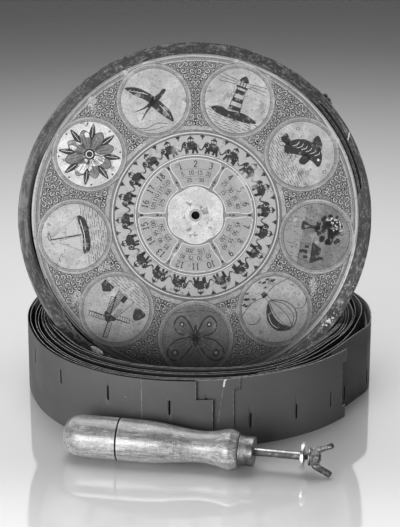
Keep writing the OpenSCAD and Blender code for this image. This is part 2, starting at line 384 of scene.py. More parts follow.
def cover_mat():
    """Dark paper over the wall's edge: mottled, greyed by handling, flecked white, with painted shade at its inner edge
    on the left.
    """
    s = Mat("cover_paper")
    v = s.attr("local")
    c, n = wall_tone(s, v)
    run = s.attr("along")
    streak = s.noise(1.0, 5, 0.66, vec=s.mapping(run, scale=(330, 38, 300)), dist=0.8)
    c = s.mix(s.step(streak, 0.46, 0.60, 0, 0.62), c, 44)
    c = s.mix(s.step(streak, 0.44, 0.34, 0, 0.55), c, 138)
    c = s.mix(s.step(s.noise(1.0, 5, 0.7, vec=s.mapping(run, scale=(900, 120, 700))), 0.56, 0.66, 0, 0.6), c, 150)
    # painted shade: the inner edge on the left is darkened where it meets the gap
    r0, arc, _ = s.split(run)
    turn = s.calc("DIVIDE", arc, 0.1458 * math.pi / 180)
    near = s.calc("MULTIPLY", s.step(turn, 242, 258, 0, 1), s.step(turn, 302, 286, 0, 1))
    c = s.mix(s.calc("MULTIPLY", s.step(r0, 0.1395, 0.1372), near), c, 38)
    low = s.calc("MULTIPLY", s.step(turn, 38, 46, 0, 1), s.step(turn, 84, 72, 0, 1))
    c = s.mix(s.calc("MULTIPLY", low, 0.5), c, 66)
    spots = s.step(s.noise(1.0, 5, 0.68, vec=s.mapping(run, scale=(300, 150, 300))), 0.50, 0.60, 0.0, 0.8)
    c = s.mix(s.calc("MULTIPLY", low, spots), c, 148)
    c = s.mix(s.step(s.noise(70, 6, 0.72, vec=v), 0.665, 0.69, 0, 0.8), c, 176)
    c = s.mix(s.step(s.noise(1300, 2, 0.5, vec=v), 0.71, 0.77, 0, 0.8), c, 188)
    c = s.mix(s.step(s.noise(700, 2, 0.5, vec=v), 0.32, 0.26, 0, 0.8), c, 28)
    h = s.calc("ADD", s.noise(520, 4, 0.6, vec=v), s.calc("MULTIPLY", s.noise(110, 3, vec=v), 1.5))
    return s.done(c, s.step(s.noise(80, 3, vec=v), 0.3, 0.7, 0.5, 0.72), s.bump(h, 0.00022, 0.7), spec=0.35)


def hoop_mat():
    """The wall's own card, dark and split into layers, with painted shade darkening it below its top edge."""
    s = Mat("hoop_card")
    v = s.attr("local")
    c, n = wall_tone(s, v)
    z = s.split(v)[2]
    fibre = s.noise(1.0, 4, 0.6, vec=s.mapping(v, scale=(160, 160, 1400)))
    c = s.mix(s.step(fibre, 0.45, 0.65, 0, 0.5), c, 60)
    # painted shade: darker going down from the top edge into the gap
    c = s.mix(s.step(z, -0.0004, -0.0016, 0, 0.7), c, 34)
    h = s.calc("ADD", s.noise(520, 4, 0.6, vec=v), s.calc("MULTIPLY", n, 1.5))
    return s.done(c, 0.75, s.bump(h, 0.00025, 0.7), spec=0.25)


def dark_mat():
    """Painted shade: near-black card down in the gap and behind the hole, standing in for the shade there."""
    s = Mat("gap_painted_shade")
    c = s.mix(s.noise(240, 4, 0.6), 18, 34)
    return s.done(c, 0.9, s.bump(s.noise(700, 3, 0.6), 0.00012, 0.5), spec=0.1)


def flake_mat():
    """Fresh torn paper showing pale."""
    s = Mat("paper_flake")
    c = s.ramp(s.noise(520, 4, 0.7), [(0.32, 140), (0.46, 206), (0.60, 238)])
    return s.done(c, 0.85, s.bump(s.noise(1500, 3, 0.7), 0.0002, 0.8), spec=0.15)


def pale_tear_mat():
    """The card's clean core, laid open by a tear."""
    s = Mat("card_core")
    c = s.ramp(s.noise(420, 4, 0.6), [(0.35, 206), (0.6, 240)])
    return s.done(c, 0.85, s.bump(s.noise(1500, 3, 0.7), 0.0001, 0.7), spec=0.2)


def board_mat():
    """Bare grey board."""
    s = Mat("bare_board")
    n = s.noise(30, 4, 0.6)
    c = s.ramp(n, [(0.3, 118), (0.7, 142)])
    c = s.mix(s.step(s.noise(900, 3, 0.6), 0.5, 0.7, 0, 0.5), c, 98)
    return s.done(c, 0.85, s.bump(s.noise(900, 4, 0.65), 0.00012, 0.6), spec=0.2)


def torn_mat():
    """Torn card fibres."""
    s = Mat("torn_card")
    c = s.ramp(s.noise(600, 4, 0.7), [(0.3, 52), (0.5, 96), (0.66, 170)])
    return s.done(c, 0.9, s.bump(s.noise(1500, 3, 0.7), 0.0002, 0.8), spec=0.15)


def wood_mat():
    """Pale turned wood under old varnish: streaks along the grip, turning marks round it, stains and flecks; painted
    shade on its upper side and painted light on its underside.
    """
    s = Mat("grip_wood")
    v = s.attr("local")                       # metres, z along the grip
    z = s.split(v)[2]
    grain = s.noise(1.0, 5, 0.62, vec=s.mapping(v, scale=(230, 230, 26)), dist=0.6)
    c = s.ramp(grain, [(0.30, 116), (0.45, 152), (0.60, 184), (0.78, 208)])
    zone = s.step(s.noise(26, 2, 0.5, vec=v), 0.38, 0.62, 0.25, 1.0)
    middle = s.calc("MULTIPLY", s.step(z, 0.044, 0.062), s.step(z, 0.112, 0.098))
    marks = s.noise(1.0, 4, 0.65, vec=s.mapping(v, scale=(95, 95, 1250)))
    amount = s.calc("MULTIPLY", s.calc("ADD", s.calc("MULTIPLY", middle, 0.6), 0.25), zone)
    c = s.mix(s.calc("MULTIPLY", s.step(marks, 0.48, 0.66), amount), c, 84)
    blot = s.noise(70, 5, 0.68, vec=v)
    c = s.mix(s.step(blot, 0.50, 0.64, 0, 0.42), c, 88)
    c = s.mix(s.step(s.noise(240, 5, 0.7, vec=v), 0.54, 0.66, 0, 0.55), c, 66)
    # painted shade darkens the upper side in patches, and painted light (floor bounce) lightens the underside
    top = s.calc("MULTIPLY", s.step(s.split(v)[0], -0.002, -0.013), s.step(s.noise(60, 4, 0.6, vec=v), 0.30, 0.60, 0.35, 1.0))
    c = s.mix(s.calc("MULTIPLY", top, 0.66), c, 84)
    c = s.mix(s.step(s.split(v)[0], 0.001, 0.011, 0, 0.34), c, 226)
    fine = s.noise(1.0, 4, 0.66, vec=s.mapping(v, scale=(900, 900, 120)))
    c = s.mix(s.step(fine, 0.46, 0.62, 0, 0.62), c, 92)
    c = s.mix(s.step(s.noise(760, 4, 0.72, vec=v), 0.53, 0.63, 0, 0.66), c, 78)
    c = s.mix(s.step(s.noise(1.0, 4, 0.66, vec=s.mapping(v, scale=(520, 520, 60))), 0.44, 0.34, 0, 0.55), c, 214)
    dots = s.noise(620, 2, 0.5, vec=v)
    c = s.mix(s.step(dots, 0.66, 0.71, 0, 0.85), c, 44)
    c = s.mix(s.step(s.noise(1500, 2, 0.5, vec=v), 0.62, 0.69, 0, 0.6), c, 62)
    # dirt in the turned groove and at the ferrule; a pale line beside the groove is a painted highlight on the groove's
    # edge
    ring = s.step(s.calc("ABSOLUTE", s.calc("SUBTRACT", z, 0.04365)), 0.00045, 0.0009, 1.0, 0.0)
    c = s.mix(ring, c, 14)
    c = s.mix(s.step(s.calc("ABSOLUTE", s.calc("SUBTRACT", z, 0.0449)), 0.0001, 0.0006, 0.22, 0.0), c, 210)
    c = s.mix(s.step(z, 0.1345, 0.1372, 0, 0.6), c, 70)
    r = s.step(s.noise(55, 4, 0.6, vec=v), 0.35, 0.7, 0.30, 0.46)
    h = s.calc("ADD", s.calc("MULTIPLY", grain, 0.8), s.calc("ADD", s.noise(160, 4, 0.6, vec=v), s.calc("MULTIPLY", marks, 0.4)))
    return s.done(c, r, s.bump(h, 0.00016, 0.7), spec=0.5, coat=1.0, coat_rough=0.24)


def nut_mat():
    """Rough cast iron, greyer where it has been handled, with painted shade darkening the lower horn, and dark at the
    upper horn's tip.
    """
    s = Mat("nut_cast")
    v = s.attr("local")
    x = s.split(v)[0]
    c = s.mix(s.step(s.noise(420, 5, 0.66, vec=v), 0.42, 0.60, 0, 0.8), 156, 66)
    c = s.mix(s.step(s.noise(1300, 3, 0.6, vec=v), 0.56, 0.64, 0, 0.85), c, 34)
    # painted shade: the lower horn is darkened
    c = s.mix(s.step(x, 0.0055, 0.0075, 0, 0.72), c, 62)
    c = s.mix(s.step(x, -0.0086, -0.0102, 0, 0.8), c, 40)
    return s.done(c, s.step(s.noise(300, 3, vec=v), 0.3, 0.7, 0.5, 0.7), s.bump(s.noise(1100, 4, 0.65, vec=v), 0.0003, 0.8), metal=0.75, spec=0.4)


def metal_mat(name, tone, rough_lo, rough_hi, dark=70, spread=0.5, scale=160, turned=False, bump=0.00006, stay=False, dull=False):
    """Worn bare metal with tarnish patches. stay is for a CAD node, which has no stored place."""
    s = Mat(name)
    v = s.vec if stay else s.attr("local")
    n = s.noise(scale, 5, 0.62, vec=v)
    c = s.mix(s.step(n, 0.42, 0.66, 0, spread), tone, dark)
    c = s.mix(s.step(s.noise(1500, 2, 0.5, vec=v), 0.68, 0.74, 0, 0.7), c, 36)
    r = s.step(s.noise(220, 4, 0.6, vec=v), 0.35, 0.68, rough_lo, rough_hi)
    if dull:
        # darker, rougher patches on the front side: tarnish, and painted shade that dims the lamp's reflection there
        y = s.split(v)[1]
        patch_f = s.calc("MULTIPLY", s.step(y, -0.0019, -0.0026), s.step(s.noise(170, 4, 0.6, vec=v), 0.36, 0.5, 0.55, 1.0))
        c = s.mix(s.calc("MULTIPLY", patch_f, 0.85), c, 84)
        r = s.calc("ADD", r, s.calc("MULTIPLY", patch_f, 0.34))
    h = s.noise(900, 4, 0.6, vec=v)
    if turned:
        fine = s.noise(1.0, 2, 0.5, vec=s.mapping(v, scale=(30, 30, 4200)))
        h = s.calc("ADD", h, s.calc("MULTIPLY", fine, 1.4))
    return s.done(c, r, s.bump(h, bump, 0.7), metal=1.0)


M_LABEL, M_CARD, M_EDGE = label_mat(), card_mat(), edge_mat()
M_RUBBED, M_SEAM, M_COVER, M_SHADE_BLACK, M_FLAKE = rubbed_mat(), seam_mat(), cover_mat(), dark_mat(), flake_mat()
M_SHADE_CARD, M_SOOT, M_PALE_TEAR = deep_mat(), sooty_edge_mat(), pale_tear_mat()
# strip_04's face uses a darker copy of the card as painted shade, and the inner faces a lighter copy as painted light
M_CARD_SHADED, M_INSIDE_LIT = card_mat("strip_card_end", -20), card_mat("strip_card_inside", 66)
M_HOOP, M_BOARD, M_TORN, M_WOOD = hoop_mat(), board_mat(), torn_mat(), wood_mat()
M_FERRULE = metal_mat("ferrule_metal", 132, 0.42, 0.62, dark=62, spread=0.75, scale=150)
M_STEEL = metal_mat("spindle_steel", 168, 0.28, 0.44, dark=74, spread=0.6, turned=True, dull=True)
M_FLANGE = metal_mat("flange_steel", 220, 0.32, 0.52, dark=104, spread=0.7, turned=True)
M_NUT = nut_mat()
M_IRON = metal_mat("nut_iron", 146, 0.36, 0.55, dark=70, spread=0.6, scale=260, bump=0.0002)
M_BRASS = metal_mat("bush_brass", (190, 160, 96), 0.25, 0.4, dark=96, stay=True)
M_COLLAR = metal_mat("collar_steel", 190, 0.2, 0.4, dark=100, stay=True)

# ------------------------------------------------------------------ picture strips
H, CARD = 59.0, 0.65
SLIT_W, SLIT_H, SLIT_LOW = 1.5, 12.0, 31.5
TONGUE_L, TONGUE_H, TAB_L, TAB_H = 13.0, 28.0, 5.0, 10.5

curve_01 = [[85,141.9],[95,142.1],[105,143],[120,143.5],[135,142.9],[150,141.2],[165,139.8],[180,140.6],[200,142],[225,142.8],
            [250,142.4],[270,141.2],[290,140.8],[310,141.2],[330,141.2],[345,140.8],[352,139.6],[359,136.9],[367,133.4],[377,131.7],
            [390,131.3],[400,131.6],[412,132.6],[430,133.6]]
curve_02 = [[76,138.5],[85,138.6],[95,138.6],[105,139.8],[120,141],[135,140.6],[150,139],[165,137.7],[180,138.6],[200,139.8],
            [225,140.2],[250,139.4],[270,138],[290,137.4],[310,137.8],[330,137.8],[345,135.8],[352,133.8],[359,131.8],[367,129.6],
            [377,127.2],[390,124.9],[400,126.2],[412,129.2],[430,130.6]]
curve_03 = [[32,141.6],[37,140.7],[43,139.9],[50,139.3],[56,138.2],[63,137.4],[69,137],[80,137],[95,137],[105,138],[120,138.8],[135,137.8],
            [150,135.2],[165,134.4],[180,134.2],[190,134.3],[200,135.6],[225,137.2],[250,136.6],[270,135],[290,134],[310,134],[330,133.4],
            [345,131.6],[352,130.7],[360,129.9],[370,127.6],[377,125.9],[392,123.2]]
curve_04 = [[-22,143.2],[-16,144.6],[-10,145.5],[-4,145.1],[4,144.2],[8.5,143.3],[10.4,142.4],[12.5,140.8],[16,138],[20,135.6],[25,133.9],[30.5,133.3],
            [36,133.9],[41,135.4],[45,136.8],[50,137.1],[56,136.5],[63,135.8],[69,135.5],[80,135.5],[95,135.2],[105,136],
            [120,136.6],[135,135.6],[150,133.2],[160,132.8],[170,132.2],[180,131.6],[190,131.4],[200,132.8],[214,134.6],[225,135.2],
            [250,134.2],[270,132.6],[290,131.2],[310,130.8],[331,130.6],[346,130]]
passes = [[225, [133,130.5,128,125.5,123,120.5,118]], [270, [129.8,127,124.2,121.4,118.6,115.8,113]],
          [315, [128.8,126.8,124.8,122.8,120.8,118.8,116.6]], [360, [126.2,125.1,124,122.9,121.8,120.7,119.6]],
          [370, [124.9,123.8,122.7,121.3,120.2,119.1,117.9]], [380, [123.4,122.4,121.3,118.6,117.5,116.4,115.2]],
          [390, [121.2,120.1,119,117,115.9,114.8,113.4]], [405, [123.6,122.2,120.8,119,117.4,115.8]],
          [420, [128.6,126.8,124.8,122.2,119.8,117.6]], [450, [128,126.5,124.9,119.2,117.4,115.2]],
          [495, [129.6,128.4,126.4,122.9,120.4,117.8]], [510, [128.8,127.6,125.6,124,120.8,117.6]],
          [520, [128.5,127.3,125.5,124.2,121.1,118]], [530, [128.7,127.5,126.2,124.9,123.3,121.6]],
          [540, [129.4,128.3,127.2,126.1,125,123.9]]]
curve_in = [[208, 133.4]] + [[k + 360 * p, row[p]] for p in range(7) for k, row in passes if p < len(row)] + [[360 * 7 + 45, 113.4]]

# curve, its two ends, first slit, number of slits, their pitch (degrees), rolled upside down, tongue at the first end
STRIPS = [
    (curve_01, 85, 429, 98.5, 17, 20.2, False, True),
    (curve_02, 76, 427, 87, 20, 17.4, False, False),
    (curve_03, 32.7, 387.4, 40.6, 22, 15.8, True, False),
    (curve_04, -22, 333, -6.1, 21, 16.4, True, False),
    (curve_in, 214, 586, 222, 18, 20.6, False, True),
    (curve_in, 587.3, 965, 594, 22, 17, True, False),
    (curve_in, 966.3, 1350.5, 974, 20, 19, False, True),
    (curve_in, 1352, 1745.5, 1361, 17, 23.2, False, False),
    (curve_in, 1747, 2147, 1755.4, 20, 19.9, True, True),
    (curve_in, 2148.5, 2555.5, 2157, 22, 18.3, False, True)]


# how much higher the slits are cut, and how much higher again those after the first
SHIFT = [(-1, 6), (0, 0), (0, 0), (-8, 0)] + [(0, 0)] * 6
# where each strip's outer face is not covered by the next one (the rest is painted near black as shade), and where its
# inner face is painted lighter, as painted light
OPEN = [(85, 350), (76, 90.6), (32, 78.6), (-22, 37.6)] + [(0, 0)] * 6
INSIDE = [[(188, 235), (325, 366)], [(190, 235)], [(325, 360)], [(-22, 7)]] + [[]] * 6


def radius(tab, x):
    t = np.asarray(tab, float)
    X, R = t[:, 0], t[:, 1]
    gap = np.diff(X)
    rise = np.diff(R) / gap
    m = np.empty(len(X))
    m[0], m[-1] = rise[0], rise[-1]
    m[1:-1] = (rise[:-1] * gap[1:] + rise[1:] * gap[:-1]) / (gap[:-1] + gap[1:])
    x = np.asarray(x, float)
    i = np.clip(np.searchsorted(X, x, side="right") - 1, 0, len(X) - 2)
    h = gap[i]
    s = (x - X[i]) / h
    return ((2 * s**3 - 3 * s * s + 1) * R[i] + (s**3 - 2 * s * s + s) * h * m[i]
            + (3 * s * s - 2 * s**3) * R[i + 1] + (s**3 - s * s) * h * m[i + 1])


def wall_point(tab, a, off, z):
    """Points of a strip: a in degrees, off outwards from its middle, at height z."""
    def at(x):
        r = radius(tab, x)
        return np.stack([r * np.cos(np.radians(x)), -r * np.sin(np.radians(x))], -1)
    d = at(a + 0.4) - at(a - 0.4)
    d /= np.linalg.norm(d, axis=-1, keepdims=True)
    n = np.stack([-d[..., 1], d[..., 0]], -1)
    p = at(a) + n * np.asarray(off)[..., None]
    return np.stack([p[..., 0] + LAY[0], p[..., 1] + LAY[1], np.broadcast_to(z, p[..., 0].shape)], -1)


def drift(a, z):
    """How far the whole roll bulges or leans at this place, the same for every turn."""
    c = np.radians(a)
    low = 0.16 * np.sin(3 * c + 0.7) + 0.12 * np.sin(5 * c + 2.1) + 0.08 * np.sin(9 * c + 4.0)
    return low * (z / H - 0.35)


def build_strip(k):
    tab, a, b, first, count, pitch, upside, tongue_first = STRIPS[k]
    name = "strip_%02d" % (k + 1)
    local = np.random.default_rng(100 + k)
    low = (H - SLIT_LOW - SLIT_H if upside else SLIT_LOW) + SHIFT[k][0]
    slits = first + pitch * np.arange(count)
    lows = low + np.where(np.arange(count) > 0, float(SHIFT[k][1]), 0.0)
    half = np.degrees((SLIT_W / 2) / radius(tab, slits))
    ra, rb = radius(tab, np.array([a, b]))
    la = np.degrees((TONGUE_L if tongue_first else TAB_L) / ra)
    lb = np.degrees((TAB_L if tongue_first else TONGUE_L) / rb)
    if k == 2:
        slits[1] -= 0.9
    lip = 0.16
    fixed = np.concatenate([[a, b, a + la, b - lb, a + lip, b - lip, a + la + lip, b - lb - lip], slits - half, slits + half])
    plain = np.arange(a, b, 0.85)
    plain = plain[np.min(np.abs(plain[:, None] - fixed[None]), 1) > 0.22]
    cols = np.sort(np.concatenate([fixed, plain]))
    cut = (H - TONGUE_H) / 2
    rows = np.array(sorted({0.0, 0.4, 5, TAB_H, cut, 21, H - cut, H - TAB_H, 38.0, 54, H - 0.62, H - 0.2, H} | set(lows) | set(lows + SLIT_H)))
    mid_a, mid_z = (cols[1:] + cols[:-1]) / 2, (rows[1:] + rows[:-1]) / 2
    there = np.ones((len(mid_a), len(mid_z)), bool)
    in_slit = np.abs(mid_a[:, None] - slits[None]) < half[None]
    opening = (in_slit[:, None, :] & ((mid_z[:, None] > lows[None]) & (mid_z[:, None] < lows[None] + SLIT_H))[None]).any(2)
    there &= ~opening
    tongue = mid_a < a + la if tongue_first else mid_a > b - lb
    tabs = mid_a > b - lb if tongue_first else mid_a < a + la
    there &= ~(tongue[:, None] & ((mid_z < cut) | (mid_z > H - cut))[None])
    there &= ~(tabs[:, None] & ((mid_z > TAB_H) & (mid_z < H - TAB_H))[None])
    A, Z = np.meshgrid(cols, rows, indexing="ij")
    # the top edge is a little uneven, with a few small nicks
    wob = np.array([noise.noise(Vector((x * 0.09, k * 7.3, 0))) for x in cols]) * 0.22
    wob -= 0.45 * (local.random(len(cols)) < 0.008)
    Zs = Z + np.where(Z > H - 0.3, wob[:, None] - 0.12, 0) + np.where((Z > 50) & (Z < H - 0.3), wob[:, None] * 0.5, 0)
    d = drift(A, Z)
    n_in = A.size
    half_t = CARD / 2 * np.where((Z > H - 0.05) | (Z < 0.05), 0.5, 1.0)
    P = np.concatenate([wall_point(tab, A, half_t + d, Zs).reshape(-1, 3), wall_point(tab, A, -half_t + d, Zs).reshape(-1, 3)])
    ids = np.arange(n_in).reshape(A.shape)
    faces, index, flat = [], [], []
    nc, nr = there.shape
    pad = np.zeros((nc + 2, nr + 2), bool)
    pad[1:-1, 1:-1] = there
    i, j = np.nonzero(there)
    p, q, r, s = ids[i, j], ids[i + 1, j], ids[i + 1, j + 1], ids[i, j + 1]
    outer = np.stack([p, s, r, q], 1)
    inner = np.stack([p, q, r, s], 1) + n_in
    rims, rim_kind, rim_a = [], [], []
    hole = np.zeros_like(pad)
    hole[1:-1, 1:-1] = opening
    for di, dj, u, w in ((-1, 0, p, s), (1, 0, r, q), (0, -1, q, p), (0, 1, s, r)):
        edge = ~pad[i + 1 + di, j + 1 + dj]
        rims.append(np.stack([u[edge], u[edge] + n_in, w[edge] + n_in, w[edge]], 1))
        rim_kind.append(np.where(hole[i + 1 + di, j + 1 + dj][edge], 0, 1))
        rim_a.append(mid_a[i][edge])
    rim = np.concatenate(rims)
    # rubbed line along the top edge and the ends of the outer face
    side = (~pad[i, j + 1] & ~hole[i, j + 1]) | (~pad[i + 2, j + 1] & ~hole[i + 2, j + 1])
    rubbed = side | ((mid_z[j] > H - 0.62) & (mid_z[j] < H - 0.2) & (k != 0))
    F = np.concatenate([outer, inner, rim])
    used = np.unique(F)
    back = np.full(len(P), -1)
    back[used] = np.arange(len(used))
    F = back[F]
    arc = np.cumsum(np.concatenate([[0], np.diff(cols) * np.pi / 180 * radius(tab, mid_a)]))
    U = np.broadcast_to(arc[:, None], A.shape).reshape(-1)
    loc = np.stack([np.tile(U, 2), np.tile(Z.reshape(-1), 2), np.repeat([0, 1.0], n_in)], 1)[used] * 0.001
    # outer faces outside OPEN, inner faces outside INSIDE and the slits' edges take the near-black card as painted
    # shade; inner faces inside INSIDE take the lighter copy as painted light
    shown = (mid_a[i] > OPEN[k][0] - 0.1) & (mid_a[i] < OPEN[k][1])
    # the inner faces listed in INSIDE get the lighter card copy: painted light
    greyed = np.zeros(len(i), bool)
    for lo, hi in INSIDE[k]:
        greyed |= (mid_a[i] > lo) & (mid_a[i] < hi)
    idx = np.concatenate([np.where(shown, np.where(rubbed, 2, 0), 3), np.where(greyed, 4, 3), np.where(np.concatenate(rim_kind) == 0, 3, np.where((np.concatenate(rim_a) > 300) & (k == 0), 5, 1))])
    sm = np.concatenate([np.ones(len(outer)), np.ones(len(inner)), np.zeros(len(rim))])
    return piece(name + "_card", P[used], F, name, [M_CARD_SHADED if k == 3 else M_CARD, M_SOOT if k in (0, 5, 7) else M_EDGE, M_RUBBED, M_SHADE_CARD, M_INSIDE_LIT, M_EDGE], idx, sm, replaces=(name,), attrs={"local": loc})


for k in range(10):
    build_strip(k)


def ribbon_on(name, k, pts, width, thick, mat, body):
    """A thin raised line on the outside of strip k; pts are (degrees, height)."""
    tab = STRIPS[k][0]
    pts = np.asarray(pts, float)
    m = 24
    t = np.linspace(0, 1, m)
    aa = np.interp(t * (len(pts) - 1), np.arange(len(pts)), pts[:, 0])
    zz = np.interp(t * (len(pts) - 1), np.arange(len(pts)), pts[:, 1])
    r = radius(tab, aa)
    w = np.degrees(width / 2 / r)
    d = drift(aa, zz)
    base = CARD / 2 + d
    L0 = wall_point(tab, aa - w, base - 0.02, zz)
    L1 = wall_point(tab, aa - w * 0.8, base + thick, zz)
    R1 = wall_point(tab, aa + w * 0.8, base + thick, zz)
    R0 = wall_point(tab, aa + w, base - 0.02, zz)
    V = np.concatenate([L0, L1, R1, R0])
    F = []
    for q in range(3):
        for i in range(m - 1):
            F.append((q * m + i, q * m + i + 1, (q + 1) * m + i + 1, (q + 1) * m + i))
    F += [(0, m, 2 * m, 3 * m), (m - 1, 4 * m - 1, 3 * m - 1, 2 * m - 1)]
    return piece(name, V, F, body, mat, sharp=40)


ribbon_on("strip_01_seam", 0, [(107.4, 58.6), (107.3, 45), (107.25, 30), (107.2, 15), (107.3, 0.5)], 0.6, 0.10, M_SEAM, "strip_01")
ribbon_on("strip_01_fleck", 0, [(112.45, 42.6), (112.7, 42.2), (112.95, 41.4)], 0.9, 0.10, M_SEAM, "strip_01")
ribbon_on("strip_02_seam", 1, [(81.1, 58.5), (82.3, 39), (83.5, 18), (84.4, 0.6)], 0.5, 0.09, M_SEAM, "strip_02")
ribbon_on("strip_02_flake", 1, [(80.6, 58.6), (81.1, 57.6), (81.4, 52.5)], 1.5, 0.12, M_FLAKE, "strip_02")


def torn_inside():
    """A pale torn sliver curling off the inner face of strip_04 near its end."""
    tab = STRIPS[3][0]
    t = np.linspace(0, 1.3, 9)
    a, z = -11.8 + 4.8 * t, 50.0 - 9.5 * t
    out = -CARD / 2 + drift(a, z)
    rows = [wall_point(tab, a, out + 0.05, z), wall_point(tab, a, out - 0.15 - 2.2 * t, z + 0.1 * t),
            wall_point(tab, a, out - 0.15 - 2.2 * t, z - 0.3), wall_point(tab, a, out + 0.05, z - 0.35)]
    m = len(t)
    F = [(q * m + i, q * m + i + 1, (q + 1) % 4 * m + i + 1, (q + 1) % 4 * m + i) for q in range(4) for i in range(m - 1)]
    F += [(0, m, 2 * m, 3 * m), (m - 1, 4 * m - 1, 3 * m - 1, 2 * m - 1)]
    piece("strip_04_torn", np.concatenate(rows), F, "strip_04", M_PALE_TEAR, sharp=40)


torn_inside()


# ------------------------------------------------------------------ drum
def arc_solid(z_in, radial, ang0, ang1, n, closed=False):
    """Cross-sections swept round the hoop. radial(theta) gives a closed list of (r, z); returns verts (drum frame) and quads."""
    th = np.linspace(ang0, ang1, n + (0 if closed else 1), endpoint=not closed)
    V, m = [], None
    for t in th:
        c = np.asarray(radial(t), float)
        m = len(c)
        x = c[:, 0] * math.cos(math.radians(t)) + z_in
        y = c[:, 0] * math.sin(math.radians(t))
        V.append(np.stack([x, y, c[:, 1]], 1))
    k = len(th)
    F = []
    for i in range(k if closed else k - 1):
        i2 = (i + 1) % k
        for j in range(m):
            j2 = (j + 1) % m
            F.append((i * m + j, i2 * m + j, i2 * m + j2, i * m + j2))
    if not closed:
        F.append(tuple(range(m - 1, -1, -1)))
        F.append(tuple((k - 1) * m + j for j in range(m)))
    return np.concatenate(V), F


def n1(x, y=0.0, z=0.0):
    return noise.noise(Vector((x, y, z)))


def env(t, a, b, soft):
    """1 between angles a and b, easing to 0 over soft degrees outside."""
    lo = min(max((t - (a - soft)) / soft, 0), 1)
    hi = min(max(((b + soft) - t) / soft, 0), 1)
    return lo * lo * (3 - 2 * lo) * hi * hi * (3 - 2 * hi)


LAP = 9.4 / 3
# the old hoop is no longer round: how much of the wall's thickness shows at each angle
SPREAD = [(-30, .95), (0, .98), (15, 1), (45, 1), (60, .91), (75, .86), (90, .82), (120, .84), (150, .88), (180, .95), (195, .93), (210, .95), (330, .95)]


def thick_at(t, r):
    w = (t + 30) % 360 - 30
    return HOOP_IN + (r - HOOP_IN) * float(np.interp(w, [q[0] for q in SPREAD], [q[1] for q in SPREAD]))



def lap(name, node, r0, r1, seed, top, ang=None, peel=None):
    def section(t):
        w = (t + 180) % 360 - 180
        cr = math.cos(math.radians(t)) * 9, math.sin(math.radians(t)) * 9
        wav = 0.10 * n1(cr[0], cr[1], seed)
        zt = top + 0.16 * n1(cr[0] * 1.7, cr[1] * 1.7, seed + 5) + 0.10 * n1(cr[0] * 7, cr[1] * 7, seed + 9)
        a, b = thick_at(t, r0) + wav * 0.3, thick_at(t, r1) + wav
        if peel:
            a, b, zt = peel(w, a, b, zt)
        e = min(0.45, (b - a) * 0.25)
        zb = -DRUM_DEEP
        return [(a, zb + 0.3), (a + 0.3, zb), (b - 0.3, zb), (b, zb + 0.4), (b, -14), (b, -8), (b, -3), (b, zt - e), (b - e * 0.35, zt - e * 0.3),
                (b - e, zt), ((a + b) / 2, zt + 0.03), (a + e * 0.6, zt), (a, zt - e * 0.6), (a, -4), (a, -12)]
    if ang is None:
        V, F = arc_solid(HOOP_OFF, section, 0, 360, 540, closed=True)
    else:
        V, F = arc_solid(HOOP_OFF, section, ang[0], ang[1], int((ang[1] - ang[0]) / 0.667))
    return piece(name, in_drum(V), F, "drum", M_HOOP, replaces=(node,), sharp=50, attrs={"local": V * 0.001})


def peel_in(w, a, b, zt):
    e = env(w, 8, 40, 10)
    return a, b - 0.7 * e, zt - 0.4 * e


def peel_mid(w, a, b, zt):
    e = env(w, 6, 43, 7)
    return a + 0.2 * e, b - 0.9 * e, zt - 0.8 * e - 0.5 * e * n1(w * 0.5, 3)


def peel_out(w, a, b, zt):
    e = env(w, 8, 41, 5)
    return a + 0.6 * e, b - 0.1 * e, zt - 0.3 * e


lap("hoop_inner_card", "hoop_inner_lap", HOOP_IN, HOOP_IN + LAP, 1.0, -0.1, peel=peel_in)
lap("hoop_middle_card", "hoop_middle_lap", HOOP_IN + LAP, HOOP_IN + 2 * LAP, 2.0, -0.1, peel=peel_mid)
lap("hoop_outer_card", "hoop_outer_lap", HOOP_IN + 2 * LAP, DRUM_R, 3.0, -0.05, ang=(41.6, 41.6 + 359.2), peel=peel_out)


# inner edge of the covering paper, measured from the hub: a thin gap is left open at the left
COVER_IN = [(0, 134.8), (40, 134.8), (90, 134.7), (140, 134.8), (155, 135.0), (165, 135.7), (180, 136.4), (190, 136.2), (198, 135.5), (206, 134.7),
            (215, 134.6), (225, 136.6), (235, 135.2), (250, 134.9), (320, 134.9), (360, 134.8)]


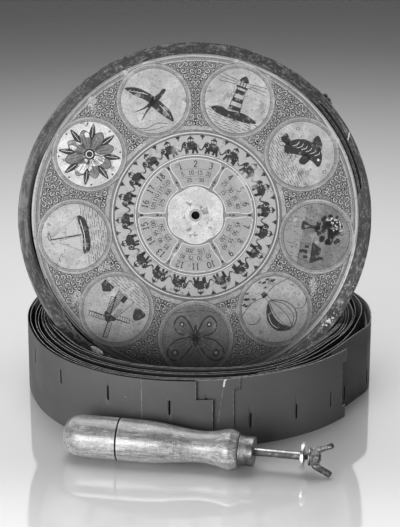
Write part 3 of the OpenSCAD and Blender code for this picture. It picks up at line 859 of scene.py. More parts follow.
def cover():
    """The dark paper over the wall's front edge, torn away on the inner side at the upper right."""
    def section(t):
        w = (t + 180) % 360 - 180
        cx, cy = math.cos(math.radians(t)) * 9, math.sin(math.radians(t)) * 9
        edge = float(np.interp(t % 360, [q[0] for q in COVER_IN], [q[1] for q in COVER_IN])) + 0.9 * math.cos(math.radians(t))
        torn = env(w, 11, 40, 5)
        rag = 0.5 * n1(cx * 5, cy * 5, 2.2) + 0.35 * n1(cx * 17, cy * 17, 5.1)
        ri = edge + 0.12 * n1(cx * 3, cy * 3, 8.8) + torn * (6.0 + 1.6 * n1(w * 0.13, 1.2)) + rag * (0.15 + torn)
        ro = thick_at(t, DRUM_R) + 0.22 + 0.10 * n1(cx, cy, 3.0) + 0.06 * n1(cx * 6, cy * 6, 1.0)
        ro = max(ro, ri + 2.2)
        zs = -2.4 if ri > HOOP_IN else -0.3
        out = [(ri + 0.25, zs), (ri + 0.3, -0.2), (ro - 0.35, -0.25), (ro - 0.3, -2.0)]
        zb = -4.6 + 1.2 * n1(cx * 4, cy * 4, 6.0)
        out += [(ro - 0.28, zb), (ro - 0.02, zb), (ro, -2.6)]
        n = 7
        for q in range(n + 1):
            u = q / n
            r = ro + (ri - ro) * u
            f = 1 - abs(2 * u - 1) ** 9
            zt = 0.12 + 0.32 * f + (0.20 * n1(cx * 4, cy * 4, r * 0.35) + 0.12 * n1(cx * 14, cy * 14, r * 1.1)) * f
            out.append((r, zt))
        out.append((ri, zs * (1 - torn) - 0.2 * torn))
        return out
    V, F = arc_solid(HOOP_OFF, section, 0, 360, 1080, closed=True)
    round_it = np.radians((np.degrees(np.arctan2(V[:, 1], V[:, 0])) - 270) % 360)
    along = np.c_[np.hypot(V[:, 0], V[:, 1]), round_it * 145.8, V[:, 2]]
    piece("hoop_cover_paper", in_drum(V), F, "drum", M_COVER, sharp=60, attrs={"local": V * 0.001, "along": along * 0.001})


cover()


def ply(name, r, thick, a0, a1, top, deep, seed, mat, wander=0.25, tip=3.0):
    """One loose sheet of the laminated wall, standing on edge."""
    def section(t):
        k = min(1, (t - a0) / tip, (a1 - t) / tip)
        k = max(k, 0.02)
        rr = r + wander * n1(t * 0.11, seed) + 0.08 * n1(t * 0.7, seed + 3)
        zt = top + 0.35 * n1(t * 0.35, seed + 6) + 0.12 * n1(t * 2.3, seed + 8)
        zt = -deep + (zt + deep) * (0.45 + 0.55 * k)
        h = thick / 2
        return [(rr - h, -deep), (rr + h, -deep), (rr + h, zt - 0.08), (rr + h * 0.3, zt), (rr - h * 0.3, zt), (rr - h, zt - 0.08)]
    V, F = arc_solid(HOOP_OFF, section, a0, a1, max(8, int((a1 - a0) * 2)))
    return piece(name, in_drum(V), F, "drum", mat, sharp=50)


ply("ply_a", 138.4, 0.32, 7, 46, 0.35, 3.0, 1.3, M_TORN, 0.3)
ply("ply_b", 139.8, 0.22, 10, 41, 0.30, 3.0, 2.7, M_HOOP, 0.3)
ply("ply_c", 141.0, 0.34, 4, 43, 0.40, 3.5, 4.1, M_TORN, 0.25)
ply("ply_d", 143.4, 0.25, 24, 42, 0.55, 3.5, 5.9, M_TORN, 0.2)


def flat_patch(name, pts, z, thick, mat, seed, rag=0.25):
    """A scrap of paper lying on the drum's face or rim, with a ragged outline."""
    P = smooth_line(pts, 5, True)
    P = P + np.array([[rag * n1(x * 2.1, y * 2.1, seed), rag * n1(x * 2.3, y * 2.3, seed + 4)] for x, y in P])
    n = len(P)
    c = P.mean(0)
    V = np.concatenate([np.c_[P, np.full(n, z)], np.c_[c + (P - c) * 0.9, np.full(n, z + thick)], [[c[0], c[1], z + thick * 1.2]]])
    F = [(i, (i + 1) % n, n + (i + 1) % n, n + i) for i in range(n)] + [(n + i, n + (i + 1) % n, 2 * n) for i in range(n)]
    return piece(name, in_drum(V), F, "drum", mat, sharp=40, attrs={"local": V * 0.001})


def rim_at(r, t):
    return (r * math.cos(math.radians(t)), r * math.sin(math.radians(t)))


flat_patch("rim_sliver", [rim_at(140.2, 26.6), rim_at(142.4, 27.5), rim_at(144.6, 28.7), rim_at(144.7, 28.3), rim_at(142.6, 27.1), rim_at(140.4, 26.2)], 0.42, 0.25, M_FLAKE, 1.0, 0.1)
flat_patch("rim_flake_low", [rim_at(137.4, 231.6), rim_at(139.6, 232.4), rim_at(139.4, 235.2), rim_at(137.0, 236.6), rim_at(135.4, 234.4)], 0.5, 0.25, M_FLAKE, 2.0, 0.5)
g = np.random.default_rng(21)
for q in range(26):
    if q < 9:
        t, r, size = g.normal(321.0, 0.95), g.normal(139.6, 1.1), g.uniform(0.6, 1.5)
    else:
        t, r, size = g.uniform(312, 342), g.uniform(135.8, 142.5), g.uniform(0.3, 0.75)
    around = np.linspace(0, 2 * np.pi, 7)[:-1] + g.uniform(0, 1)
    c = rim_at(r, t)
    flat_patch("rim_scuff_%02d" % q, [(c[0] + size * g.uniform(0.4, 1.2) * math.cos(u), c[1] + size * g.uniform(0.4, 1.2) * math.sin(u)) for u in around],
               0.47, 0.12, M_FLAKE, 3.0 + q, 0.3)

dress("drum_label", M_LABEL)
dress("drum_base_board", M_BOARD)
dress("board_seat_ring", M_SHADE_BLACK)

# a dark disc set behind the hole: painted shade for the darkness seen through it
tt = np.linspace(0, 2 * np.pi, 48, endpoint=False)
wav = 6.6 + 0.5 * np.cos(3 * tt + 0.6) + 0.25 * np.cos(7 * tt)
V = np.concatenate([[[0, 0, -3.32]], np.c_[wav * np.cos(tt), wav * np.sin(tt), np.full(48, -3.29)],
                    [[0, 0, -3.6]], np.c_[wav * np.cos(tt), wav * np.sin(tt), np.full(48, -3.55)]])
F = [(0, 1 + i, 1 + (i + 1) % 48) for i in range(48)] + [(49, 50 + (i + 1) % 48, 50 + i) for i in range(48)]
F += [(1 + i, 50 + i, 50 + (i + 1) % 48, 1 + (i + 1) % 48) for i in range(48)]
piece("hole_shade_disc", in_drum(V), F, "drum", M_SHADE_BLACK, sharp=40)


# the torn piece over the outer lap's seam
def patch():
    def section(t):
        k = max(0.05, min(1, (t - 39.2) / 1.4, (43.6 - t) / 0.8))
        r = DRUM_R - 0.2 + 2.3 * k + 1.1 * n1(t * 2.3, 4.4) + 0.6 * n1(t * 7.1, 1.4)
        zt = 0.5 + 1.6 * k * n1(t * 2.1, 7.7)
        h = 0.5
        return [(r - h, -DRUM_DEEP + 1), (r + h, -DRUM_DEEP + 1), (r + h, -9), (r + h, zt - 0.3), (r, zt), (r - h, zt - 0.3), (r - h, -9)]
    V, F = arc_solid(HOOP_OFF, section, 39.2, 43.6, 30)
    piece("hoop_torn_patch", in_drum(V), F, "drum", M_TORN, replaces=("hoop_joint_patch",), sharp=50)


patch()


# ------------------------------------------------------------------ label print
class Art:
    """Flat shapes in a few tones. Points pass through the current placement; everything faces out of the label."""

    def __init__(self, z):
        self.z, self.v, self.f, self.k = z, [], [], []
        self.place()
        self.tone = 0

    def place(self, x=0.0, y=0.0, turn=0.0, size=1.0, flip=False):
        c, s = math.cos(math.radians(turn)) * size, math.sin(math.radians(turn)) * size
        m = -1 if flip else 1
        self.A = np.array([[c * m, s * m], [-s, c]])
        self.o = np.array([x, y])
        self.size = size
        return self

    def _put(self, P, F):
        o = len(self.v)
        self.v.extend(np.c_[P, np.full(len(P), self.z - 0.008 * self.tone)].tolist())
        self.f.extend([tuple(int(o + i) for i in f) for f in F])
        self.k.extend([self.tone] * len(F))

    def pts(self, P):
        return np.asarray(P, float) @ self.A + self.o

    def stroke(self, P, w, closed=False):
        P = self.pts(P)
        if closed:
            T = np.roll(P, -1, 0) - np.roll(P, 1, 0)
        else:
            T = np.gradient(P, axis=0) if len(P) > 2 else np.repeat(P[1:] - P[:1], 2, 0)
        T = T / (np.linalg.norm(T, axis=1, keepdims=True) + 1e-9)
        N = np.stack([-T[:, 1], T[:, 0]], 1)
        w = np.broadcast_to(np.asarray(w, float), (len(P),))[:, None] / 2 * self.size
        n = len(P)
        F = [(i, n + i, n + (i + 1) % n, (i + 1) % n) for i in range(n if closed else n - 1)]
        self._put(np.concatenate([P + N * w, P - N * w]), F)
        return self

    def line(self, P, w, n=5, closed=False):
        return self.stroke(smooth_line(P, n, closed), w, closed)

    def poly(self, P):
        P = self.pts(P)
        tri = geometry.tessellate_polygon([[Vector((x, y, 0)) for x, y in P]])
        out = []
        for a, b, c in tri:
            s = (P[b][0] - P[a][0]) * (P[c][1] - P[a][1]) - (P[b][1] - P[a][1]) * (P[c][0] - P[a][0])
            if abs(s) > 1e-9:
                out.append((a, b, c) if s > 0 else (a, c, b))
        self._put(P, out)
        return self

    def blob(self, P, n=5):
        return self.poly(smooth_line(P, n, True))

    def disc(self, x, y, r, n=24, ry=None):
        t = np.linspace(0, 2 * np.pi, n, endpoint=False)
        P = np.stack([x + r * np.cos(t), y + (ry or r) * np.sin(t)], 1)
        Q = self.pts(np.concatenate([[[x, y]], P]))
        F = [(0, 1 + i, 1 + (i + 1) % n) for i in range(n)]
        if np.linalg.det(self.A) < 0:
            F = [(a, c, b) for a, b, c in F]
        self._put(Q, F)
        return self

    def ring(self, x, y, r, w, n=96, a0=0.0, a1=360.0):
        full = abs(a1 - a0) >= 360
        t = np.radians(np.linspace(a0, a1, n, endpoint=not full))
        return self.stroke(np.stack([x + r * np.cos(t), y + r * np.sin(t)], 1), w, closed=full)

    def hatch(self, poly, turn, gap, w, jitter=0.0):
        """Parallel lines inside a polygon."""
        P = np.asarray(poly, float)
        c, s = math.cos(math.radians(turn)), math.sin(math.radians(turn))
        R = np.array([[c, -s], [s, c]])
        Q = P @ R
        y = Q[:, 1].min() + gap / 2
        while y < Q[:, 1].max():
            xs = []
            for i in range(len(Q)):
                a, b = Q[i], Q[(i + 1) % len(Q)]
                if (a[1] > y) != (b[1] > y):
                    xs.append(a[0] + (y - a[1]) / (b[1] - a[1]) * (b[0] - a[0]))
            xs.sort()
            for a, b in zip(xs[::2], xs[1::2]):
                if b - a > 0.8:
                    j = jitter * (rng.random() - 0.5)
                    L = np.array([[a + abs(j), y], [(a + b) / 2, y + j * 0.2], [b - abs(j), y]]) @ R.T
                    self.stroke(L, w)
            y += gap
        return self

    def make(self, name, mats):
        P3 = np.array(self.v)
        ob = piece(name, in_drum(P3), self.f, "drum", mats, index=self.k, smooth=np.zeros(len(self.f)))
        uv = ob.data.uv_layers.new(name="OFBake")
        loop = np.empty(len(ob.data.loops), np.int32)
        ob.data.loops.foreach_get("vertex_index", loop)
        uv.data.foreach_set("uv", ((P3[loop, :2] + 137) / 274).astype(np.float32).ravel())
        return ob


# from the paper up: grounds, soft washes, dark ink, pale lines
pale, wash, ink, white = Art(0.06), Art(0.09), Art(0.12), Art(0.15)
ROUND, R_C, R_P = 9, 101.2, 29.2          # picture roundels: how many, their ring's radius, their size
FIRST = 90 + 20.0
half_gap = 180 / ROUND

# paper margin and border lines
def ring_between(art, r, w):
    """A circle round the hub, left out where the roundels lie."""
    t = np.arange(0, 360.01, 0.5)
    free = np.ones(len(t), bool)
    for i in range(ROUND):
        c = math.radians(FIRST + 360 / ROUND * i)
        free &= np.hypot(r * np.cos(np.radians(t)) - R_C * math.cos(c), r * np.sin(np.radians(t)) - R_C * math.sin(c)) > R_P + 1.9
    if free.all():
        art.ring(0, 0, r, w, 360)
        return
    k = int(np.argmin(free))
    t, free = np.concatenate([t[k:], t[1:k + 1] + 360]), np.concatenate([free[k:], free[1:k + 1]])
    run = []
    for a, ok in zip(t, free):
        if ok:
            run.append(a)
        elif len(run) > 2:
            art.stroke([(r * math.cos(math.radians(q)), r * math.sin(math.radians(q))) for q in run], w)
            run = []
        else:
            run = []


# pale paper margin, widened at the lower right into a painted highlight where the curled edge catches the light; the
# arcs at the left and the lower right are painted highlights too
white.tone = 1
tt = np.radians(np.arange(0, 360, 0.5))
marg = 132.6 + 0.35 * np.array([n1(math.cos(t) * 22, math.sin(t) * 22, 3.3) for t in tt])
wide = 1.2 + 0.6 * np.array([n1(math.cos(t) * 9, math.sin(t) * 9, 7.7) for t in tt]) + 0.7 * np.cos(tt - math.radians(322))
wide *= np.interp(np.degrees(tt), [150, 175, 215, 285, 305], [1, 0.5, 0.3, 0.3, 1])
white.stroke(np.stack([marg * np.cos(tt), marg * np.sin(tt)], 1), wide, closed=True)
lip = np.radians(np.linspace(156, 192, 60))
white.stroke(np.stack([134.2 * np.cos(lip), 134.2 * np.sin(lip)], 1), 1.9 * np.sin(np.linspace(0.05, math.pi - 0.05, 60)) ** 0.5)
white.tone = 0
lower_right_glint = np.radians(np.linspace(286, 350, 130))
line = 133.7 + 0.18 * np.array([n1(math.cos(t) * 30, math.sin(t) * 30, 5.5) for t in lower_right_glint])
white.stroke(np.stack([line * np.cos(lower_right_glint), line * np.sin(lower_right_glint)], 1), 1.05 * np.sin(np.linspace(0.08, math.pi - 0.08, 130)) ** 0.4)
for r, w in ((131.2, 0.36), (129.9, 0.3), (127.9, 0.45)):
    ring_between(ink, r, w)
for r, w in ((75.0, 0.4), (70.9, 0.32), (69.9, 0.3), (67.6, 0.25), (66.9, 0.5)):
    ring_between(ink, r, w)
pale.tone = 2
ring_between(pale, 129.1, 2.0)
ring_between(pale, 72.9, 3.6)
white.ring(0, 0, 68.6, 0.7, 240)
wash.tone = 0
wash.ring(0, 0, 58.4, 17.6, 240)
white.ring(0, 0, 49.5, 0.75, 180)
ink.ring(0, 0, 50.4, 0.3, 180)
ink.ring(0, 0, 48.7, 0.25, 180)
# painted shadow where the sheet dips under the wall at the lower left
ink.ring(0, 0, 133.3, 1.5, 60, 203, 231)
ink.ring(0, 0, 132.2, 0.8, 60, 206, 224)

# roundel frames and grounds: 0 pale, 1 bright, 2 frame band, 3 dusky; the bottom roundel's dusky ground is partly
# painted shade for the darker bottom of the face
GROUNDS = [0, 1, 0, 0, 3, 0, 3, 0, 0]
PEELED = [0, 11, 0, 0, 0, 0, 0, 0, 0]
gen = np.random.default_rng(8)
for i in range(ROUND):
    t = math.radians(FIRST + 360 / ROUND * i)
    x, y = R_C * math.cos(t), R_C * math.sin(t)
    pale.tone = 2
    pale.ring(x, y, R_P + 0.1, 3.6)
    pale.tone = GROUNDS[i]
    pale.disc(x, y, R_P - 1.7, 96)
    ink.ring(x, y, R_P + 1.9, 0.32)
    ink.ring(x, y, R_P - 0.1, 0.22)
    ink.ring(x, y, R_P - 0.9, 0.22)
    ink.ring(x, y, R_P - 1.8, 0.42)
    # places where the print has come away
    for _ in range(PEELED[i]):
        a, r = gen.uniform(0, 2 * math.pi), 24 * math.sqrt(gen.random())
        s = gen.uniform(2.0, 7.0)
        px, py = x + r * math.cos(a), y + r * math.sin(a)
        if math.hypot(px - x, py - y) + s * 1.3 > R_P - 2.2:
            continue
        q = np.linspace(0, 2 * np.pi, 14)[:-1]
        rad = s * (0.8 + 0.45 * gen.random(13))
        wash.tone = 3
        wash.blob(np.stack([px + rad * np.cos(q) * 1.15, py + rad * np.sin(q) * 0.85], 1), 4)

# scrollwork between them: one half of the pattern, mirrored about each gap's middle
gen = np.random.default_rng(5)
C = np.array([R_C * math.cos(math.radians(half_gap)), R_C * math.sin(math.radians(half_gap))])
S = np.zeros((0, 3))
for size, tries in ((2.9, 700), (2.2, 2500), (1.6, 6000), (1.15, 12000), (0.75, 16000)):
    for _ in range(tries):
        r = gen.uniform(75.4 + size * 0.6, 127.8 - size * 0.6)
        t = math.radians(gen.uniform(0, half_gap))
        p = np.array([r * math.cos(t), r * math.sin(t)])
        if p[1] < size * 0.8 or np.hypot(*(p - C)) < R_P + 2.2 + size * 0.8:
            continue
        if len(S) == 0 or (np.hypot(S[:, 0] - p[0], S[:, 1] - p[1]) > 0.84 * (size + S[:, 2])).all():
            S = np.concatenate([S, [[p[0], p[1], size]]])
marks = [(x, y, s, gen.uniform(0, 360), gen.choice([-1, 1]), gen.integers(0, 3)) for x, y, s in S]


def scroll(x, y, size, turn, hand, kind):
    if size < 1.0:
        ink.disc(x, y, size * 0.62, 7)
        return
    t = np.linspace(0, 1, 13 if size > 1.5 else 8)
    ang = math.radians(turn) + hand * t * (2 * math.pi * (1.3 if size > 1.5 else 0.8))
    rad = size * (1.0 - 0.80 * t)
    P = np.stack([x + rad * np.cos(ang), y + rad * np.sin(ang)], 1)
    ink.stroke(P, np.linspace(0.72, 0.42, len(t)) * (1 if size > 1.5 else 0.85))
    ink.disc(P[-1][0], P[-1][1], 0.5 if size > 1.5 else 0.36, 8)
    m = len(t) // 2 + 1
    Q = np.stack([x + (rad - 0.62) * np.cos(ang), y + (rad - 0.62) * np.sin(ang)], 1)[:m]
    white.stroke(Q, 0.42)
    if size > 1.5:
        for q in ((2, 5, 8) if kind else (3, 7)):
            d = P[q] - np.array([x, y])
            d /= np.linalg.norm(d)
            e = np.array([-d[1], d[0]]) * hand
            L = 0.30 * size + 0.4
            ink.blob([P[q] - e * 0.4, P[q] + d * L * 0.5 - e * 0.1, P[q] + d * L + e * L * 0.5, P[q] + d * L * 0.35 + e * 0.6], 3)


for i in range(ROUND):
    base = FIRST + half_gap + 360 / ROUND * i
    ink.place(0, 0, base)
    white.place(0, 0, base)
    for x, y, size, turn, hand, kind in marks:
        scroll(x, y, size, turn, hand, kind)
        scroll(x, -y, size, -turn, -hand, kind)
    for r in (78.6, 123.4):
        ink.blob([(r - 2.4, 0), (r, 1.3), (r + 2.4, 0), (r, -1.3)], 4)
        white.disc(r, 0, 0.55, 8)
    ink.place()
    white.place()

# ring of walking elephants, one step of the stride after another
WALK = 20
for i in range(WALK):
    t = 360 / WALK * i + 4
    ph = 2 * math.pi * i / WALK * 2
    bob = 0.2 * math.sin(ph * 2)
    a = math.radians(t)
    for art in (ink, wash):
        art.place(50.9 * math.cos(a), 50.9 * math.sin(a), t - 90, 0.98, True)
    T = lambda L: [(x, y + bob) for x, y in L]
    ink.blob(T([(-5.7, 6.4), (-5.2, 8.4), (-3.2, 9.6), (-0.6, 10.0), (2.0, 9.7), (3.4, 9.9), (4.8, 10.7), (6.2, 10.2), (7.2, 8.7), (7.7, 6.8), (8.0, 5.0),
                (8.7, 3.7), (9.6, 3.5), (9.9, 4.3), (10.5, 4.0), (10.2, 2.7), (9.0, 2.3), (7.7, 3.2), (6.9, 4.8), (6.3, 5.9), (5.2, 5.0), (4.0, 3.9),
                (1.6, 3.6), (-1.4, 3.5), (-3.8, 3.9), (-5.3, 4.9)]), 3)
    ink.line(T([(-5.6, 7.0), (-6.6, 5.4), (-6.7, 3.2)]), np.linspace(0.7, 0.4, 11), 5)
    for hip, off in ((3.9, 0.0), (2.7, math.pi), (-3.9, math.pi * 0.5), (-2.7, math.pi * 1.5)):
        sw = 1.5 * math.sin(ph + off)
        up = max(0.0, 0.8 * math.cos(ph + off))
        ink.stroke([(hip, 5.2 + bob), (hip + sw * 0.45, 2.8 + up * 0.6), (hip + sw, 0.15 + up)], [2.7, 2.1, 1.8])
    wash.tone = 3
    ink.stroke(T([(-2.8, 10.2), (2.4, 10.2)]), 1.0)
    for x in (-2.3, -0.2, 1.9):
        ink.stroke(T([(x, 10.2), (x, 13.0)]), 0.5)
    ink.poly(T([(-3.4, 12.6), (3.0, 12.6), (-0.2, 15.4)]))
    ink.stroke(T([(-0.2, 15.0), (-0.2, 16.3)]), 0.4)
    white.place(50.9 * math.cos(a), 50.9 * math.sin(a), t - 90, 0.98, True)
    white.tone = 0
    white.line(T([(4.1, 9.4), (3.2, 7.6), (4.0, 6.2), (5.0, 6.8)]), 0.3, 4)
    for art in (ink, wash, white):
        art.place()
    u = 360 / WALK * (i + 0.5) + 4
    for art, k in ((ink, 1.0),):
        art.place(66.2 * math.cos(math.radians(u)), 66.2 * math.sin(math.radians(u)), u - 90, 1.2)
        art.blob([(-1.7, 0), (0, 0.4), (1.7, 0), (0.6, -1.3), (0, -2.9), (-0.6, -1.3)], 3)
        art.place()

# panels round the centre with plain numbers
DIGITS = {
    "0": [[(3, 10), (5, 8.6), (5.5, 5), (5, 1.4), (3, 0), (1, 1.4), (0.5, 5), (1, 8.6), (3, 10)]],
    "1": [[(1.3, 8.2), (2.4, 9), (3.2, 10)], [(3.2, 10), (3.2, 0)], [(1.6, 0), (4.8, 0)]],
    "2": [[(0.7, 7.5), (1.3, 9.3), (3, 10), (4.9, 9.2), (5.2, 7.4), (4.0, 5.0), (1.8, 2.4), (0.5, 0.1)], [(0.5, 0.1), (5.6, 0.1)]],
    "3": [[(0.8, 8.6), (2.2, 9.9), (4.2, 9.7), (5.1, 8), (4.4, 6.2), (2.6, 5.4)], [(2.6, 5.4), (4.8, 4.8), (5.6, 2.8), (4.6, 0.7), (2.6, 0), (0.6, 1.3)]],
    "4": [[(4.2, 0), (4.2, 10)], [(4.2, 10), (0.3, 3)], [(0.3, 3), (5.9, 3)]],
    "5": [[(5.2, 10), (1.4, 10)], [(1.4, 10), (1, 5.6)], [(1, 5.6), (2.8, 6.4), (4.8, 5.6), (5.6, 3.4), (4.8, 1), (2.8, 0), (0.6, 1)]],
    "6": [[(4.9, 9.6), (2.6, 8.4), (0.9, 5.4), (0.7, 2.4), (2, 0.2), (4, 0.1), (5.4, 2), (5, 4.4), (3.4, 5.6), (1.2, 4.2)]],
    "7": [[(0.6, 10), (5.6, 10)], [(5.6, 10), (3.6, 5.6), (2.6, 0)]],
    "8": [[(3, 5.5), (1.1, 7.6), (3, 10), (4.9, 7.6), (3, 5.5), (0.6, 2.6), (3, 0), (5.4, 2.6), (3, 5.5)]],
    "9": [[(1.1, 0.4), (3.4, 1.6), (5.1, 4.6), (5.3, 7.6), (4, 9.8), (2, 9.9), (0.6, 8), (1, 5.6), (2.6, 4.4), (4.8, 5.8)]]}


def number(art, text, h, w):
    k = h / 10
    total = len(text) * 6.8 - 0.8
    for n, ch in enumerate(text):
        for seg in DIGITS[ch]:
            P = [((x + n * 6.8 - total / 2) * k, (y - 5) * k) for x, y in seg]
            if len(P) > 2:
                art.line(P, w, 3)
            else:
                art.stroke(P, w)


def arc_numbers(mid, r, values, spread, h, w):
    for q, v in zip(np.linspace(-spread, spread, len(values)), values):
        a = mid - q
        ink.place(r * math.cos(math.radians(a)), r * math.sin(math.radians(a)), a - 90)
        number(ink, str(v), h, w)
    ink.place()


PANELS = 6
for i in range(PANELS):
    mid = 90 - 360 / PANELS * i
    span = 26.0
    t = np.linspace(-1, 1, 13)
    outer = [(47.0 * math.cos(math.radians(mid + span * q)), 47.0 * math.sin(math.radians(mid + span * q))) for q in t]
    inner = [(25.2 * math.cos(math.radians(mid + (span - 1) * q)), 25.2 * math.sin(math.radians(mid + (span - 1) * q))) for q in t[::-1]]
    ends = lambda sgn: [(r * math.cos(math.radians(mid + sgn * (span + k))), r * math.sin(math.radians(mid + sgn * (span + k))))
                        for r, k in ((44.6, 1.8), (40, 2.0), (35, 0.6), (30, -0.4), (27, 0.2))]
    shape = outer + ends(1) + inner + ends(-1)[::-1]
    wash.tone = 1
    wash.poly(smooth_line(shape, 2, True))
    white.line(shape, 0.62, 2, closed=True)
    arc_numbers(mid, 42.6, [3 * i + 1, 3 * i + 2, 3 * i + 3], 17.5, 5.0, 0.78)
    arc_numbers(mid, 35.6, [20 * i + 5, 20 * i + 10, 20 * i + 15, 20 * i + 20], 17.5, 3.3, 0.52)
    arc_numbers(mid, 29.6, [50 * i + 25, 50 * i + 50], 9.5, 3.1, 0.5)
    for q in np.linspace(-20, 20, 21):
        a = math.radians(mid + q)
        ink.stroke([(38.2 * math.cos(a), 38.2 * math.sin(a)), (39.2 * math.cos(a), 39.2 * math.sin(a))], 0.28)
    ink.ring(0, 0, 32.6, 0.26, 24, mid - 21, mid + 21)
    a = math.radians(mid + 180 / PANELS)
    for r, s in ((44.6, 1.2), (31.2, 0.9), (28.4, 0.6)):
        ink.place(r * math.cos(a), r * math.sin(a), math.degrees(a) - 90, s)
        ink.blob([(0, 1.5), (0.9, 0), (0, -1.5), (-0.9, 0)], 3)
    ink.place()
# blank centre with a lobed edge and the ring a flange has pressed into it
tt = np.radians(np.linspace(0, 360, 181)[:-1])
lobe = 22.2 + 1.5 * np.abs(np.cos((tt - math.pi / 2) * PANELS / 2))
pale.tone = 1
edge = [(r * math.cos(t), r * math.sin(t)) for r, t in zip(lobe, tt)]
hole = [(3.62 * math.cos(t), 3.62 * math.sin(t)) for t in tt]
n = len(edge)
pale._put(np.array(edge + hole), [(i, (i + 1) % n, n + (i + 1) % n, n + i) for i in range(n)])
white.stroke(edge, 0.55, closed=True)
ink.stroke([(x * 1.025, y * 1.025) for x, y in edge], 0.22, closed=True)
wash.tone = 2
wash.ring(0, 0, 9.3, 0.35, 60)
wash.ring(0, 0, 11.0, 0.22, 60)
wash.ring(0, 0, 4.6, 1.3, 48)


# ---- small engraved pictures for the roundels; local frame with up away from the centre
def circle_pts(r, n=40):
    t = np.linspace(0, 2 * np.pi, n, endpoint=False)
    return [(r * math.cos(a), r * math.sin(a)) for a in t]


def below(y0, r=28.3):
    return [p for p in circle_pts(r, 72) if p[1] < y0]


def water(y0, y1, seed, gap=1.9):
    g = np.random.default_rng(seed)
    y = y0
    while y > y1:
        h = math.sqrt(max(0, 27.4 ** 2 - y * y))
        x = -h + g.uniform(0, 3)
        while x < h - 3:
            L = g.uniform(3, 8)
            L = min(L, h - x)
            ink.line([(x, y), (x + L * 0.33, y + 0.35), (x + L * 0.66, y - 0.25), (x + L, y)], 0.42, 3)
            x += L + g.uniform(1.0, 4)
        y -= gap


def pic_boat():
    wash.tone = 5
    wash.poly(below(-7))
    water(-8.5, -26, 1)
    ink.blob([(-15, -5.2), (0, -6.6), (16, -4.8), (11.5, -11.5), (-10.5, -11.8)], 5)
    white.line([(-12, -7), (0, -8.2), (13, -6.8)], 0.5, 4)
    ink.stroke([(0.5, -6), (0.5, 21)], 0.9)
    white.tone = 1
    white.poly([(1.4, -4.2), (1.2, 19), (15.4, -3.4)])
    white.poly([(-0.6, -4.2), (-0.4, 17), (-12.5, -4.4)])
    white.tone = 0
    for P in ([(1.4, -4.2), (1.2, 19), (15.4, -3.4)], [(-0.6, -4.2), (-0.4, 17), (-12.5, -4.4)]):
        ink.line(P, 0.5, 1, closed=True)
    for q in range(4):
        ink.line([(-22 + q * 3.4, 17 - q * 2.6), (-20.6 + q * 3.4, 18.4 - q * 2.6), (-19 + q * 3.4, 17.4 - q * 2.6)], 0.5, 3)
    ink.line([(0.5, 21), (3.4, 21.6), (6.4, 20.4), (0.5, 19.2)], 0.6, 3)


def pic_swallow():
    ink.blob([(-3, 0), (0, 3), (5, 3.8), (10, 6.6), (12.4, 5.8), (11.4, 4), (6.6, 0.6), (1, -2.6), (-4, -3.2)], 5)
    ink.blob([(1.4, 2.4), (-3, 9), (-10, 15.4), (-19, 18), (-13.4, 9.6), (-7, 3.6), (-3, -1)], 5)
    ink.blob([(3, 0), (7.4, -7), (10, -13), (9.4, -22), (2.6, -13.6), (-1.6, -7), (-3, -2)], 5)
    ink.line([(-3, -1), (-9, -3), (-18, -3.6)], np.linspace(2.6, 0.5, 11))
    ink.line([(-3, -2), (-8.4, -6.4), (-15, -12)], np.linspace(2.6, 0.5, 11))
    for q in range(6):
        white.stroke([(-3 - q * 2.3, 6.4 + q * 1.7), (-6.4 - q * 2.2, 9.6 + q * 1.0)], 0.34)
        white.stroke([(3.4 + q, -5 - q * 2.4), (5.6 + q * 0.5, -9.4 - q * 1.8)], 0.34)
    ink.line([(-22, -16), (-14, -19.6), (-4, -18.6), (4, -21.6)], 0.5, 5)
    ink.line([(-16, -20.6), (-8, -22.6), (2, -23.4)], 0.4, 5)


def pic_windmill():
    wash.tone = 5
    wash.poly(below(-12))
    water(-14, -27, 3, 2.2)
    wash.tone = 4
    wash.poly([(-7.5, -13), (-4.2, 7), (4.8, 7), (8.4, -13)])
    ink.hatch([(0.6, -13), (0.5, 7), (4.8, 7), (8.4, -13)], 90, 0.95, 0.5)
    ink.line([(-7.5, -13), (-4.2, 7), (4.8, 7), (8.4, -13)], 0.5, 1, closed=True)
    ink.blob([(-5.2, 6.6), (-2.4, 11.4), (0.4, 13), (3.4, 11.2), (5.8, 6.6)], 4)
    for q in (22, 112, 202, 292):
        c, s = math.cos(math.radians(q)), math.sin(math.radians(q))
        f = lambda u, v: (0.3 + u * c - v * s, 8.6 + u * s + v * c)
        ink.stroke([f(0, 0), f(17.4, 0)], 0.9)
        ink.stroke([f(3, 0), f(3, 3.6), f(16.8, 3.6), f(16.8, 0)], 0.42)
        for u in np.arange(4.6, 16.6, 2.0):
            ink.stroke([f(u, 0), f(u, 3.6)], 0.42)
    ink.poly([(13, -13), (13, -8), (18, -4), (23, -8), (23, -13)])
    ink.blob([(-21.6, -12), (-20, -5), (-16.5, -2.4), (-13, -6), (-12.4, -12)], 4)
    ink.poly([(-1.6, -13), (-1.6, -7.4), (2, -7.4), (2, -13)])


